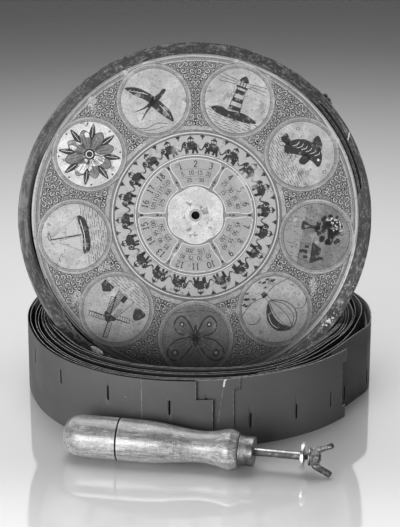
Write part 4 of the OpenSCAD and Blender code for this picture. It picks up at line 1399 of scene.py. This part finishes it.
def pic_rosette():
    for q in range(8):
        c, s = math.cos(math.radians(q * 45)), math.sin(math.radians(q * 45))
        f = lambda u, v: (u * c - v * s, u * s + v * c)
        wash.tone = 4
        P = [f(4, 0), f(9, 4.4), f(15, 5), f(20.6, 0), f(15, -5), f(9, -4.4)]
        wash.blob(P, 4)
        ink.line(P, 0.6, 4, closed=True)
        for v in (-2.6, 0, 2.6):
            ink.stroke([f(6, v * 0.5), f(11, v), f(16.4 - abs(v), v)], 0.42)
        c2, s2 = math.cos(math.radians(q * 45 + 22.5)), math.sin(math.radians(q * 45 + 22.5))
        g = lambda u, v: (u * c2 - v * s2, u * s2 + v * c2)
        ink.blob([g(12, 0), g(17.4, 2.6), g(26, 0), g(17.4, -2.6)], 4)
        white.stroke([g(14, 0), g(23.6, 0)], 0.34)
    ink.disc(0, 0, 4.6, 24)
    white.ring(0, 0, 2.8, 0.7, 24)
    for q in range(16):
        t = math.radians(q * 22.5 + 11.25)
        if q % 2:
            ink.disc(25.4 * math.cos(t), 25.4 * math.sin(t), 0.8, 8)


def pic_balloon():
    ink.line([(-26, -12), (-12, -15), (0, -13.6), (12, -16), (25, -12.6)], 0.5, 4)
    wash.tone = 5
    wash.poly([(x, y) for x, y in circle_pts(28.3, 72) if y < -14.6])
    g = np.random.default_rng(77)
    for _ in range(26):
        x, y = g.uniform(-22, 22), g.uniform(-26, -17)
        if math.hypot(x, y) < 26.6:
            ink.blob([(x - 1.4, y), (x - 0.4, y + 1.3), (x + 1.2, y + 0.6), (x + 1.4, y - 0.6)], 3)
    P = [(-3.4, -7), (-10.5, 0), (-13, 7.4), (-11.4, 14.6), (-5.4, 19.6), (-1, 20.4), (3.4, 19.6), (9.4, 14.6), (11, 7.4), (8.5, 0), (1.4, -7)]
    wash.tone = 4
    wash.blob(P, 5)
    ink.line(P, 0.7, 5, closed=True)
    for k in (-0.72, -0.3, 0.3):
        ink.line([(-1 + k * 2.4, -7), (-1 + k * 9.6, 0), (-1 + k * 12, 7), (-1 + k * 9.6, 14.6), (-1, 20.4)], 0.5, 4)
    ink.blob([(0.6, -7), (3.4, 0), (4.6, 7), (3.0, 14), (-1, 20.4), (5, 18.6), (9.4, 14.6), (11, 7.4), (8.5, 0), (1.4, -7)], 4)
    white.line([(8.2, 13.6), (9.6, 7.4), (7.4, 1)], 0.5, 4)
    for k in (-2.1, 0.1):
        ink.stroke([(k * 1.6, -7), (k - 0.2, -13)], 0.4)
    ink.poly([(-3.6, -12.6), (1.6, -12.6), (1.0, -16.8), (-3.0, -16.8)])
    for x, y in ((-19.5, 11), (18, -3)):
        ink.line([(x - 6, y - 1.4), (x - 3, y + 1.6), (x + 1, y + 2.4), (x + 4, y + 1), (x + 6.4, y - 1.4)], 0.5, 4)


def pic_fish():
    wash.tone = 5
    wash.poly(below(-8))
    water(-9.5, -27, 9, 2.0)
    ink.blob([(-14, -7), (-12.4, 4), (-4.4, 12.4), (5.6, 15), (13, 11.6), (16, 6.4), (10, 4.6), (3.4, 1.4), (-3, -5), (-8, -11)], 5)
    ink.blob([(-12, -6), (-19.4, -8.6), (-21.4, -2), (-14.6, -2.6)], 4)
    ink.blob([(-4, 11.5), (-6.6, 19.6), (2.4, 18.4), (5.2, 14)], 4)
    ink.blob([(1, 3), (3.6, -5), (8.4, -3), (6.6, 4.6)], 4)
    white.disc(11.0, 9.4, 1.1, 12)
    for q in range(6):
        white.line([(-9.6 + q * 3.2, -3 + q * 2.3), (-8.8 + q * 3.2, 0.8 + q * 2.3), (-10 + q * 3.2, 3.6 + q * 2.0)], 0.42, 3)
    for q in range(3):
        ink.ring(-10, -13, 5 + q * 3.4, 0.5, 30, 15, 165)
    for x, y in ((19, 14), (22, 9), (-20, 8), (16, -4)):
        ink.ring(x, y, 1.3, 0.4, 12)


def pic_butterfly():
    for sx in (1, -1):
        up = [(0.8 * sx, 1), (5.4 * sx, 10), (14 * sx, 18), (22 * sx, 16.4), (22.4 * sx, 8.6), (15 * sx, 1.6), (5 * sx, -0.6)]
        dn = [(0.8 * sx, -1), (7.4 * sx, -2), (15 * sx, -4.8), (17.4 * sx, -12), (12 * sx, -18), (5.6 * sx, -13)]
        wash.tone = 4
        wash.blob(up, 5)
        wash.blob(dn, 5)
        ink.line(up, 1.3, 5, closed=True)
        ink.line(dn, 1.3, 5, closed=True)
        for k in range(5):
            ink.stroke([(1.4 * sx, 0.6), ((8.6 + k * 2.6) * sx, 13.8 - k * 3.1)], 0.42)
            ink.stroke([(1.4 * sx, -1.6), ((6.4 + k * 2) * sx, -13 + k * 1.9)], 0.42)
        ink.disc(16.8 * sx, 12.0, 3.0, 16)
        white.disc(16.8 * sx, 12.0, 1.2, 12)
        ink.disc(11.2 * sx, -11.2, 2.3, 14)
        white.disc(11.2 * sx, -11.2, 0.9, 12)
        ink.line([(0.4 * sx, 6), (2.8 * sx, 12), (6 * sx, 16)], 0.42, 4)
    ink.blob([(-1.2, 6.4), (1.2, 6.4), (1.7, 0), (0.9, -10), (-0.9, -10), (-1.7, 0)], 4)
    ink.line([(-20, -19.6), (-8, -22.4), (6, -21.6), (19, -20.4)], 0.45, 5)


def pic_tree():
    wash.tone = 5
    wash.poly(below(-10))
    g = np.random.default_rng(31)
    for _ in range(60):
        x, y = g.uniform(-24, 24), g.uniform(-26, -11.5)
        if math.hypot(x, y) < 26.8:
            ink.stroke([(x, y), (x + g.uniform(-0.6, 0.6), y + g.uniform(1.0, 2.2))], 0.42)
    for _ in range(60):
        a, r = g.uniform(0, 2 * math.pi), 11.6 * math.sqrt(g.random())
        x, y = -7 + r * math.cos(a) * 1.1, 9 + r * math.sin(a)
        s = g.uniform(1.4, 2.5)
        ink.blob([(x + s * math.cos(q) * g.uniform(0.8, 1.1), y + s * math.sin(q) * g.uniform(0.8, 1.1)) for q in np.linspace(0, 2 * math.pi, 7)[:-1]], 3)
    for _ in range(26):
        a, r = g.uniform(1.6, 3.6), 10.4 * math.sqrt(g.random())
        white.disc(-7 + r * math.cos(a), 10 + r * math.sin(a), 0.62, 8)
    ink.blob([(-9, 1), (-8.6, -6), (-11, -13), (-4, -13), (-5.8, -6), (-5.4, 1)], 4)
    wash.tone = 4
    wash.poly([(7, -12), (7, -2), (21, -2), (21, -12)])
    ink.poly([(5, -2.4), (9.4, 5.4), (19, 5.4), (23, -2.4)])
    ink.line([(7, -12), (7, -2), (21, -2), (21, -12)], 0.5, 1, closed=True)
    for P in ([(12.2, -12), (12.2, -5.4), (15.4, -5.4), (15.4, -12)], [(8.4, -8.2), (8.4, -4.8), (10.8, -4.8), (10.8, -8.2)],
              [(17, -8.2), (17, -4.8), (19.4, -4.8), (19.4, -8.2)], [(16, 4), (16, 9), (18.4, 9), (18.4, 4)]):
        ink.poly(P)


def pic_lighthouse():
    wash.tone = 5
    wash.poly(below(-11))
    water(-12.5, -27, 14, 2.1)
    wash.tone = 4
    wash.poly([(-5.4, -12), (-3.6, 11), (3.6, 11), (5.4, -12)])
    for q in range(3):
        y = -8.5 + q * 7.0
        ink.poly([(-5.2 + (y + 12) * 0.078, y), (5.2 - (y + 12) * 0.078, y), (5.2 - (y + 15.6) * 0.078, y + 3.6), (-5.2 + (y + 15.6) * 0.078, y + 3.6)])
    ink.line([(-5.4, -12), (-3.6, 11), (3.6, 11), (5.4, -12)], 0.55, 1, closed=True)
    ink.poly([(-5, 11), (5, 11), (5, 12.6), (-5, 12.6)])
    for x in (-2.4, 0, 2.4):
        ink.stroke([(x, 12), (x, 17)], 0.6)
    ink.blob([(-4, 16.6), (0, 21.6), (4, 16.6)], 4)
    for q in (-2, 0, 2):
        for sx in (1, -1):
            t = math.radians(q * 9)
            ink.stroke([(sx * 5 * math.cos(t), 14.6 + 5 * math.sin(t)), (sx * 21 * math.cos(t), 14.6 + 21 * math.sin(t) * 0.5)], 0.42)
    ink.blob([(-19, -12.4), (-12, -8.6), (-4, -10.2), (7, -8.4), (15, -9.8), (21, -12.6), (11, -15.4), (-9, -15.8)], 4)


PICS = [pic_swallow, pic_rosette, pic_boat, pic_windmill, pic_butterfly, pic_balloon, pic_tree, pic_fish, pic_lighthouse]
for i, pic in enumerate(PICS):
    a = FIRST + 360 / ROUND * i
    x, y = R_C * math.cos(math.radians(a)), R_C * math.sin(math.radians(a))
    for art in (wash, ink, white):
        art.place(x, y, a - 90)
        art.tone = 0
    pic()
    for art in (wash, ink, white):
        art.place()

M_INK = printed("ink_dark", 50, 0.75)
M_WASH = printed("ink_wash", 178, 0.8)
M_WASH1 = printed("ink_wash_soft", 168, 0.7)
M_FILL = printed("ink_fill", 120, 0.9, 0.50, 0.60)
M_WATER = printed("ink_ground", 152, 0.9, 0.48, 0.62)
M_WASH2 = printed("ink_imprint", 168, 0.6)
M_PALE = pale_mat("ground_bright", 226)
M_PALE0 = pale_mat("ground_pale", 198)
M_FRAME = pale_mat("ground_frame", 184, 0.30, 0.34)
M_DUSK = pale_mat("ground_dusky", 142)
M_PEEL = pale_mat("ground_peeled", 240)
M_WHITE = printed("line_pale", 222, 0.5)
M_MARGIN = printed("line_margin", 190, 0.9)
pale.make("label_grounds", [M_PALE0, M_PALE, M_FRAME, M_DUSK])
wash.make("label_wash", [M_WASH, M_WASH1, M_WASH2, M_PEEL, M_FILL, M_WATER])
ink.make("label_ink", M_INK)
white.make("label_highlights", [M_WHITE, M_MARGIN])


# ------------------------------------------------------------------ handle
def lathe(name, line, body, mat, n=96, replaces=(), wob=0.0, seed=0.0, helix=None, sharp=35, close=True):
    """Turned shape from (s, r) pairs; the first and last radius are taken as the ends."""
    L = np.asarray(line, float)
    th = np.linspace(0, 2 * np.pi, n, endpoint=False)
    V = []
    for s, r in L:
        if helix:
            rr = np.array([helix(s, r, t) for t in th])
        else:
            rr = np.full(n, r)
        if wob:
            rr = rr + wob * np.array([noise.noise(Vector((math.cos(t) * 1.6, math.sin(t) * 1.6, s * 0.05 + seed))) for t in th])
        V.append(np.stack([rr * np.cos(th), rr * np.sin(th), np.full(n, s)], 1))
    V = np.concatenate(V)
    m = len(L)
    F = []
    for i in range(m - 1):
        for j in range(n):
            j2 = (j + 1) % n
            F.append((i * n + j, i * n + j2, (i + 1) * n + j2, (i + 1) * n + j))
    if close:
        F.append(tuple(range(n - 1, -1, -1)))
        F.append(tuple((m - 1) * n + j for j in range(n)))
    return piece(name, in_hand(V), F, body, mat, replaces=replaces, attrs={"local": V * 0.001}, sharp=sharp)


GR = 16.5
grip_line = [[0.2,3.4],[0.9,7],[2.3,10.2],[4.6,12.9],[8,14.9],[12.5,16],[18,GR-0.2],[28,GR],[36,GR],[42.4,GR]]
grip_b = [[44.6,GR],[50,GR],[58,GR-0.05],[68,GR-0.3],[76,GR-0.9],[84,GR-1.9],[92,GR-3],[100,GR-3.85],[106,GR-4.2],[111,GR-4.2],
          [116,GR-3.7],[121,GR-2.7],[125.5,GR-1.5],[128.6,GR-0.9],[130.6,GR-0.85],[132,GR-1.3],[134.5,GR-2.4],[136.6,GR-3.3],[137.2,GR-4.4]]
prof = np.concatenate([[[0, 0.6]], smooth_line(grip_line, 4), [[43.0, GR - 0.08], [43.2, GR - 0.9], [43.65, GR - 1.25], [44.1, GR - 0.9], [44.3, GR - 0.05]],
                       smooth_line(grip_b, 5), [[137.2, 5.6], [124, 5.0]]])
prof[:, 1] = np.maximum(prof[:, 1], 0.3)
lathe("grip_turned", prof, "handle", M_WOOD, 128, replaces=("handle_grip",), wob=0.10, sharp=30)

fr = 11.6
ferr = [[137.25, 9.6], [137.25, fr - 0.15], [137.5, fr + 0.05], [138.3, fr + 0.1], [138.8, fr - 0.05], [140, fr - 0.1], [143, fr - 0.12], [146, fr - 0.1], [147.2, fr],
        [147.9, fr + 0.08], [148.5, fr - 0.1], [148.9, fr - 0.5], [149, fr - 1.2], [149.0, 5.5], [148.8, 3.9], [148.3, 3.45], [147.6, 3.35]]
lathe("ferrule_sleeve", ferr, "handle", M_FERRULE, 96, replaces=("ferrule",), wob=0.12, seed=3.0, sharp=28, close=False)

dress("spindle_bush", M_BRASS)
dress("thrust_collar", M_COLLAR)
dress("collar_pin", M_COLLAR)

rod = [[112, 0.3], [112, 2.9], [112.4, 3.2], [147, 3.2], [149.6, 3.2], [150.0, 3.12], [150.5, 3.2], [160, 3.2], [172, 3.2], [184.6, 3.2], [185.2, 3.3], [185.6, 3.9]]
lathe("spindle_turned", rod, "spindle", M_STEEL, 64, replaces=("spindle_rod",), wob=0.02, sharp=30)
flange = [[184.7, 2.76], [184.7, 10.2], [184.8, 10.55], [185.1, 10.75], [187.1, 10.75], [187.4, 10.55], [187.5, 10.2], [187.5, 4.2], [187.0, 3.8], [187.0, 2.76]]
lathe("flange_disc", flange, "spindle", M_FLANGE, 96, replaces=("spindle_flange",), sharp=28, close=False)


def thread(s, r, t):
    """A 60-degree ridge winding at 1 mm a turn, fading out at both ends."""
    p = (s - t / (2 * math.pi)) % 1.0
    ridge = abs(p - 0.5) * 2
    k = min(1, max(0, (s - 187.6) / 0.8), max(0, (199.5 - s) / 0.5))
    return r - 0.52 * ridge * k if r > 1 else r


stud_line = [[185.5, 2.7]] + [[s, 2.75] for s in np.arange(187.2, 199.5, 0.125)] + [[199.6, 2.45], [199.9, 2.1], [199.9, 0.2]]
lathe("stud_threaded", stud_line, "spindle", M_STEEL, 48, helix=thread, sharp=60)
washer = [[190.6, 2.9], [190.6, 6.7], [190.75, 6.95], [191.2, 7.0], [191.65, 6.95], [191.8, 6.7], [191.8, 2.9]]
lathe("washer_plain", washer, "clamp_washer", M_IRON, 72, replaces=("clamp_washer",), sharp=28, close=False)


def wing():
    """Cast wing nut: a coned hub and two horns, welded into one skin by a remesh."""
    V, F = [], []

    def add(v, f):
        o = len(V)
        V.extend(v)
        F.extend([tuple(o + i for i in q) for q in f])

    n = 48
    hub = [[191.85, 2.95], [191.85, 6.0], [192.1, 6.35], [192.8, 6.4], [194.5, 6.0], [196.6, 5.6], [198.2, 5.3], [198.7, 5.0], [198.75, 4.6], [198.75, 2.95]]
    ring = [(r * math.cos(2 * math.pi * j / n), r * math.sin(2 * math.pi * j / n), s) for s, r in hub for j in range(n)]
    m = len(hub)
    add(ring, [(i * n + j, i * n + (j + 1) % n, ((i + 1) % m) * n + (j + 1) % n, ((i + 1) % m) * n + j) for i in range(m) for j in range(n)])
    for side in (0, 180):
        # middle line, half width along the line's side, half thickness
        if side:
            path = [(193.6, 4.0, 2.5, 1.7), (195.8, 6.6, 2.8, 1.6), (199.2, 8.4, 2.8, 1.6), (202.6, 10.0, 2.6, 1.7), (205.4, 11.4, 2.7, 1.9), (207.0, 12.2, 2.6, 1.9), (208.0, 12.7, 1.7, 1.4)]
        else:
            path = [(193.6, 3.8, 3.0, 1.6), (196.2, 5.2, 2.9, 1.5), (199.6, 6.6, 2.3, 1.4), (203.0, 7.9, 2.0, 1.4), (205.8, 9.0, 2.1, 1.6), (207.4, 9.8, 2.3, 1.9), (208.6, 10.3, 1.6, 1.5)]
        P = smooth_line(path, 5)
        T = np.gradient(P[:, :2], axis=0)
        T /= np.linalg.norm(T, axis=1, keepdims=True)
        k = 16
        v = []
        for (s, ro, w, h), t in zip(P, T):
            for j in range(k):
                q = 2 * math.pi * j / k
                ds, dr = -t[1] * w * math.cos(q), t[0] * w * math.cos(q)
                v.append((-(ro + dr), h * math.sin(q), s + ds))
        a = math.radians(side - 16)
        v = [(x * math.cos(a) - y * math.sin(a), x * math.sin(a) + y * math.cos(a), z) for x, y, z in v]
        L = len(P)
        f = [(i * k + j, i * k + (j + 1) % k, (i + 1) * k + (j + 1) % k, (i + 1) * k + j) for i in range(L - 1) for j in range(k)]
        f += [tuple(range(k - 1, -1, -1)), tuple((L - 1) * k + j for j in range(k))]
        add(v, f)
    ob = piece("wing_nut_cast", in_hand(V), F, "wing_nut", M_NUT, replaces=("wing_nut",))
    md = ob.modifiers.new("skin", "REMESH")
    md.mode = "VOXEL"
    md.voxel_size = 0.00030
    sm = ob.modifiers.new("soft", "SMOOTH")
    sm.factor, sm.iterations = 0.5, 5
    dg = bpy.context.evaluated_depsgraph_get()
    me = bpy.data.meshes.new_from_object(ob.evaluated_get(dg))
    ob.modifiers.clear()
    old = ob.data
    ob.data = me
    bpy.data.meshes.remove(old)
    co = np.empty(len(me.vertices) * 3, np.float32)
    me.vertices.foreach_get("co", co)
    loc = ((co.reshape(-1, 3) * 1000 - BUTT) @ HAND_M.T * 0.001).astype(np.float32)
    me.attributes.new("local", "FLOAT_VECTOR", "POINT").data.foreach_set("vector", loc.ravel())
    me.polygons.foreach_set("use_smooth", np.ones(len(me.polygons), bool))
    if not me.materials:
        me.materials.append(M_NUT)


wing()

# ------------------------------------------------------------------ stage
def stage_mat():
    s = Mat("floor_painted_falloff")
    x, y, _ = s.split(s.vec)
    # painted light: the floor is pale near the object and in front and darkens with distance, standing in for the
    # lamps' falloff
    d = s.calc("SQRT", s.calc("ADD", s.calc("MULTIPLY", x, x), s.calc("MULTIPLY", y, y)))
    far = s.calc("SUBTRACT", s.calc("DIVIDE", d, 2.0), s.calc("MULTIPLY", x, 0.09))
    c = s.ramp(far, [(0.0, 188), (0.08, 188), (0.15, 192), (0.25, 180), (0.315, 167), (0.39, 150), (0.475, 126), (0.57, 102), (0.74, 76), (1.0, 62)])
    c = s.mix(s.step(y, -0.12, -0.26), c, 224)
    m = s.done(c, 0.5, spec=0.3, coat=1.0, coat_rough=0.06)
    for nd in m.node_tree.nodes:
        if nd.type == "BSDF_PRINCIPLED":
            nd.inputs["Coat IOR"].default_value = 2.3
    return m


me = bpy.data.meshes.new("floor")
me.from_pydata([(-9, -9, 0), (9, -9, 0), (9, 9, 0), (-9, 9, 0)], [], [(0, 1, 2, 3)])
floor = bpy.data.objects.new("floor", me)
me.materials.append(stage_mat())
bpy.context.scene.collection.objects.link(floor)

# the studio: dim all round, with a soft pale panel behind and above that the glossy floor mirrors
world = bpy.data.worlds.new("studio")
bpy.context.scene.world = world
world.use_nodes = True
wn = world.node_tree
tc = wn.nodes.new("ShaderNodeTexCoord")
sp = wn.nodes.new("ShaderNodeSeparateXYZ")
wn.links.new(tc.outputs["Generated"], sp.inputs[0])


def band(sock, lo, hi, a, b):
    n = wn.nodes.new("ShaderNodeMapRange")
    n.interpolation_type = "SMOOTHSTEP"
    wn.links.new(sock, n.inputs["Value"])
    for key, v in (("From Min", lo), ("From Max", hi), ("To Min", a), ("To Max", b)):
        n.inputs[key].default_value = v
    return n.outputs[0]


def times(a, b):
    n = wn.nodes.new("ShaderNodeMath")
    n.operation = "MULTIPLY"
    wn.links.new(a, n.inputs[0])
    wn.links.new(b, n.inputs[1])
    return n.outputs[0]


panel = times(times(band(sp.outputs[2], 0.225, 0.345, 0, 1), band(sp.outputs[2], 0.72, 0.95, 1, 0)), band(sp.outputs[1], 0.05, 0.55, 0, 1))
lift = wn.nodes.new("ShaderNodeMath")
lift.operation = "MULTIPLY_ADD"
wn.links.new(panel, lift.inputs[0])
lift.inputs[1].default_value = 1.27
lift.inputs[2].default_value = 0.05
wn.links.new(lift.outputs[0], wn.nodes["Background"].inputs[1])
wn.nodes["Background"].inputs[0].default_value = (1, 1, 1, 1)


def area(name, loc, aim, size, power, size_y=None):
    li = bpy.data.lights.new(name, "AREA")
    li.energy, li.size = power, size
    if size_y:
        li.shape, li.size_y = "RECTANGLE", size_y
    o = bpy.data.objects.new(name, li)
    bpy.context.scene.collection.objects.link(o)
    o.location = loc
    o.rotation_euler = (Vector(aim) - Vector(loc)).to_track_quat("-Z", "Y").to_euler()
    return o


area("key", (-0.66, -1.43, 0.34), (0, 0, 0.08), 0.8, 18, 0.6)
area("glint", (-1.00, -1.10, 0.60), (0, -0.12, 0.02), 0.5, 2.5)
area("fill", (0.45, -1.75, 0.95), (0, 0, 0.08), 1.5, 2.5)
area("top", (-0.15, 0.25, 1.5), (0, 0.02, 0.0), 1.0, 14.5, 1.1)

cam = bpy.data.cameras.new("camera")
cam.lens, cam.sensor_width, cam.sensor_fit = 138.74, 36, "AUTO"
cam.clip_start, cam.clip_end = 0.05, 60
co = bpy.data.objects.new("camera", cam)
bpy.context.scene.collection.objects.link(co)
co.location = ((2.46 + LAY[0]) * 0.001, (-1574.22 + LAY[1]) * 0.001, 0.67865)
co.rotation_euler = (math.radians(90 - 20.07), 0, 0)
bpy.context.scene.camera = co
bpy.context.scene.view_settings.view_transform = "Standard"
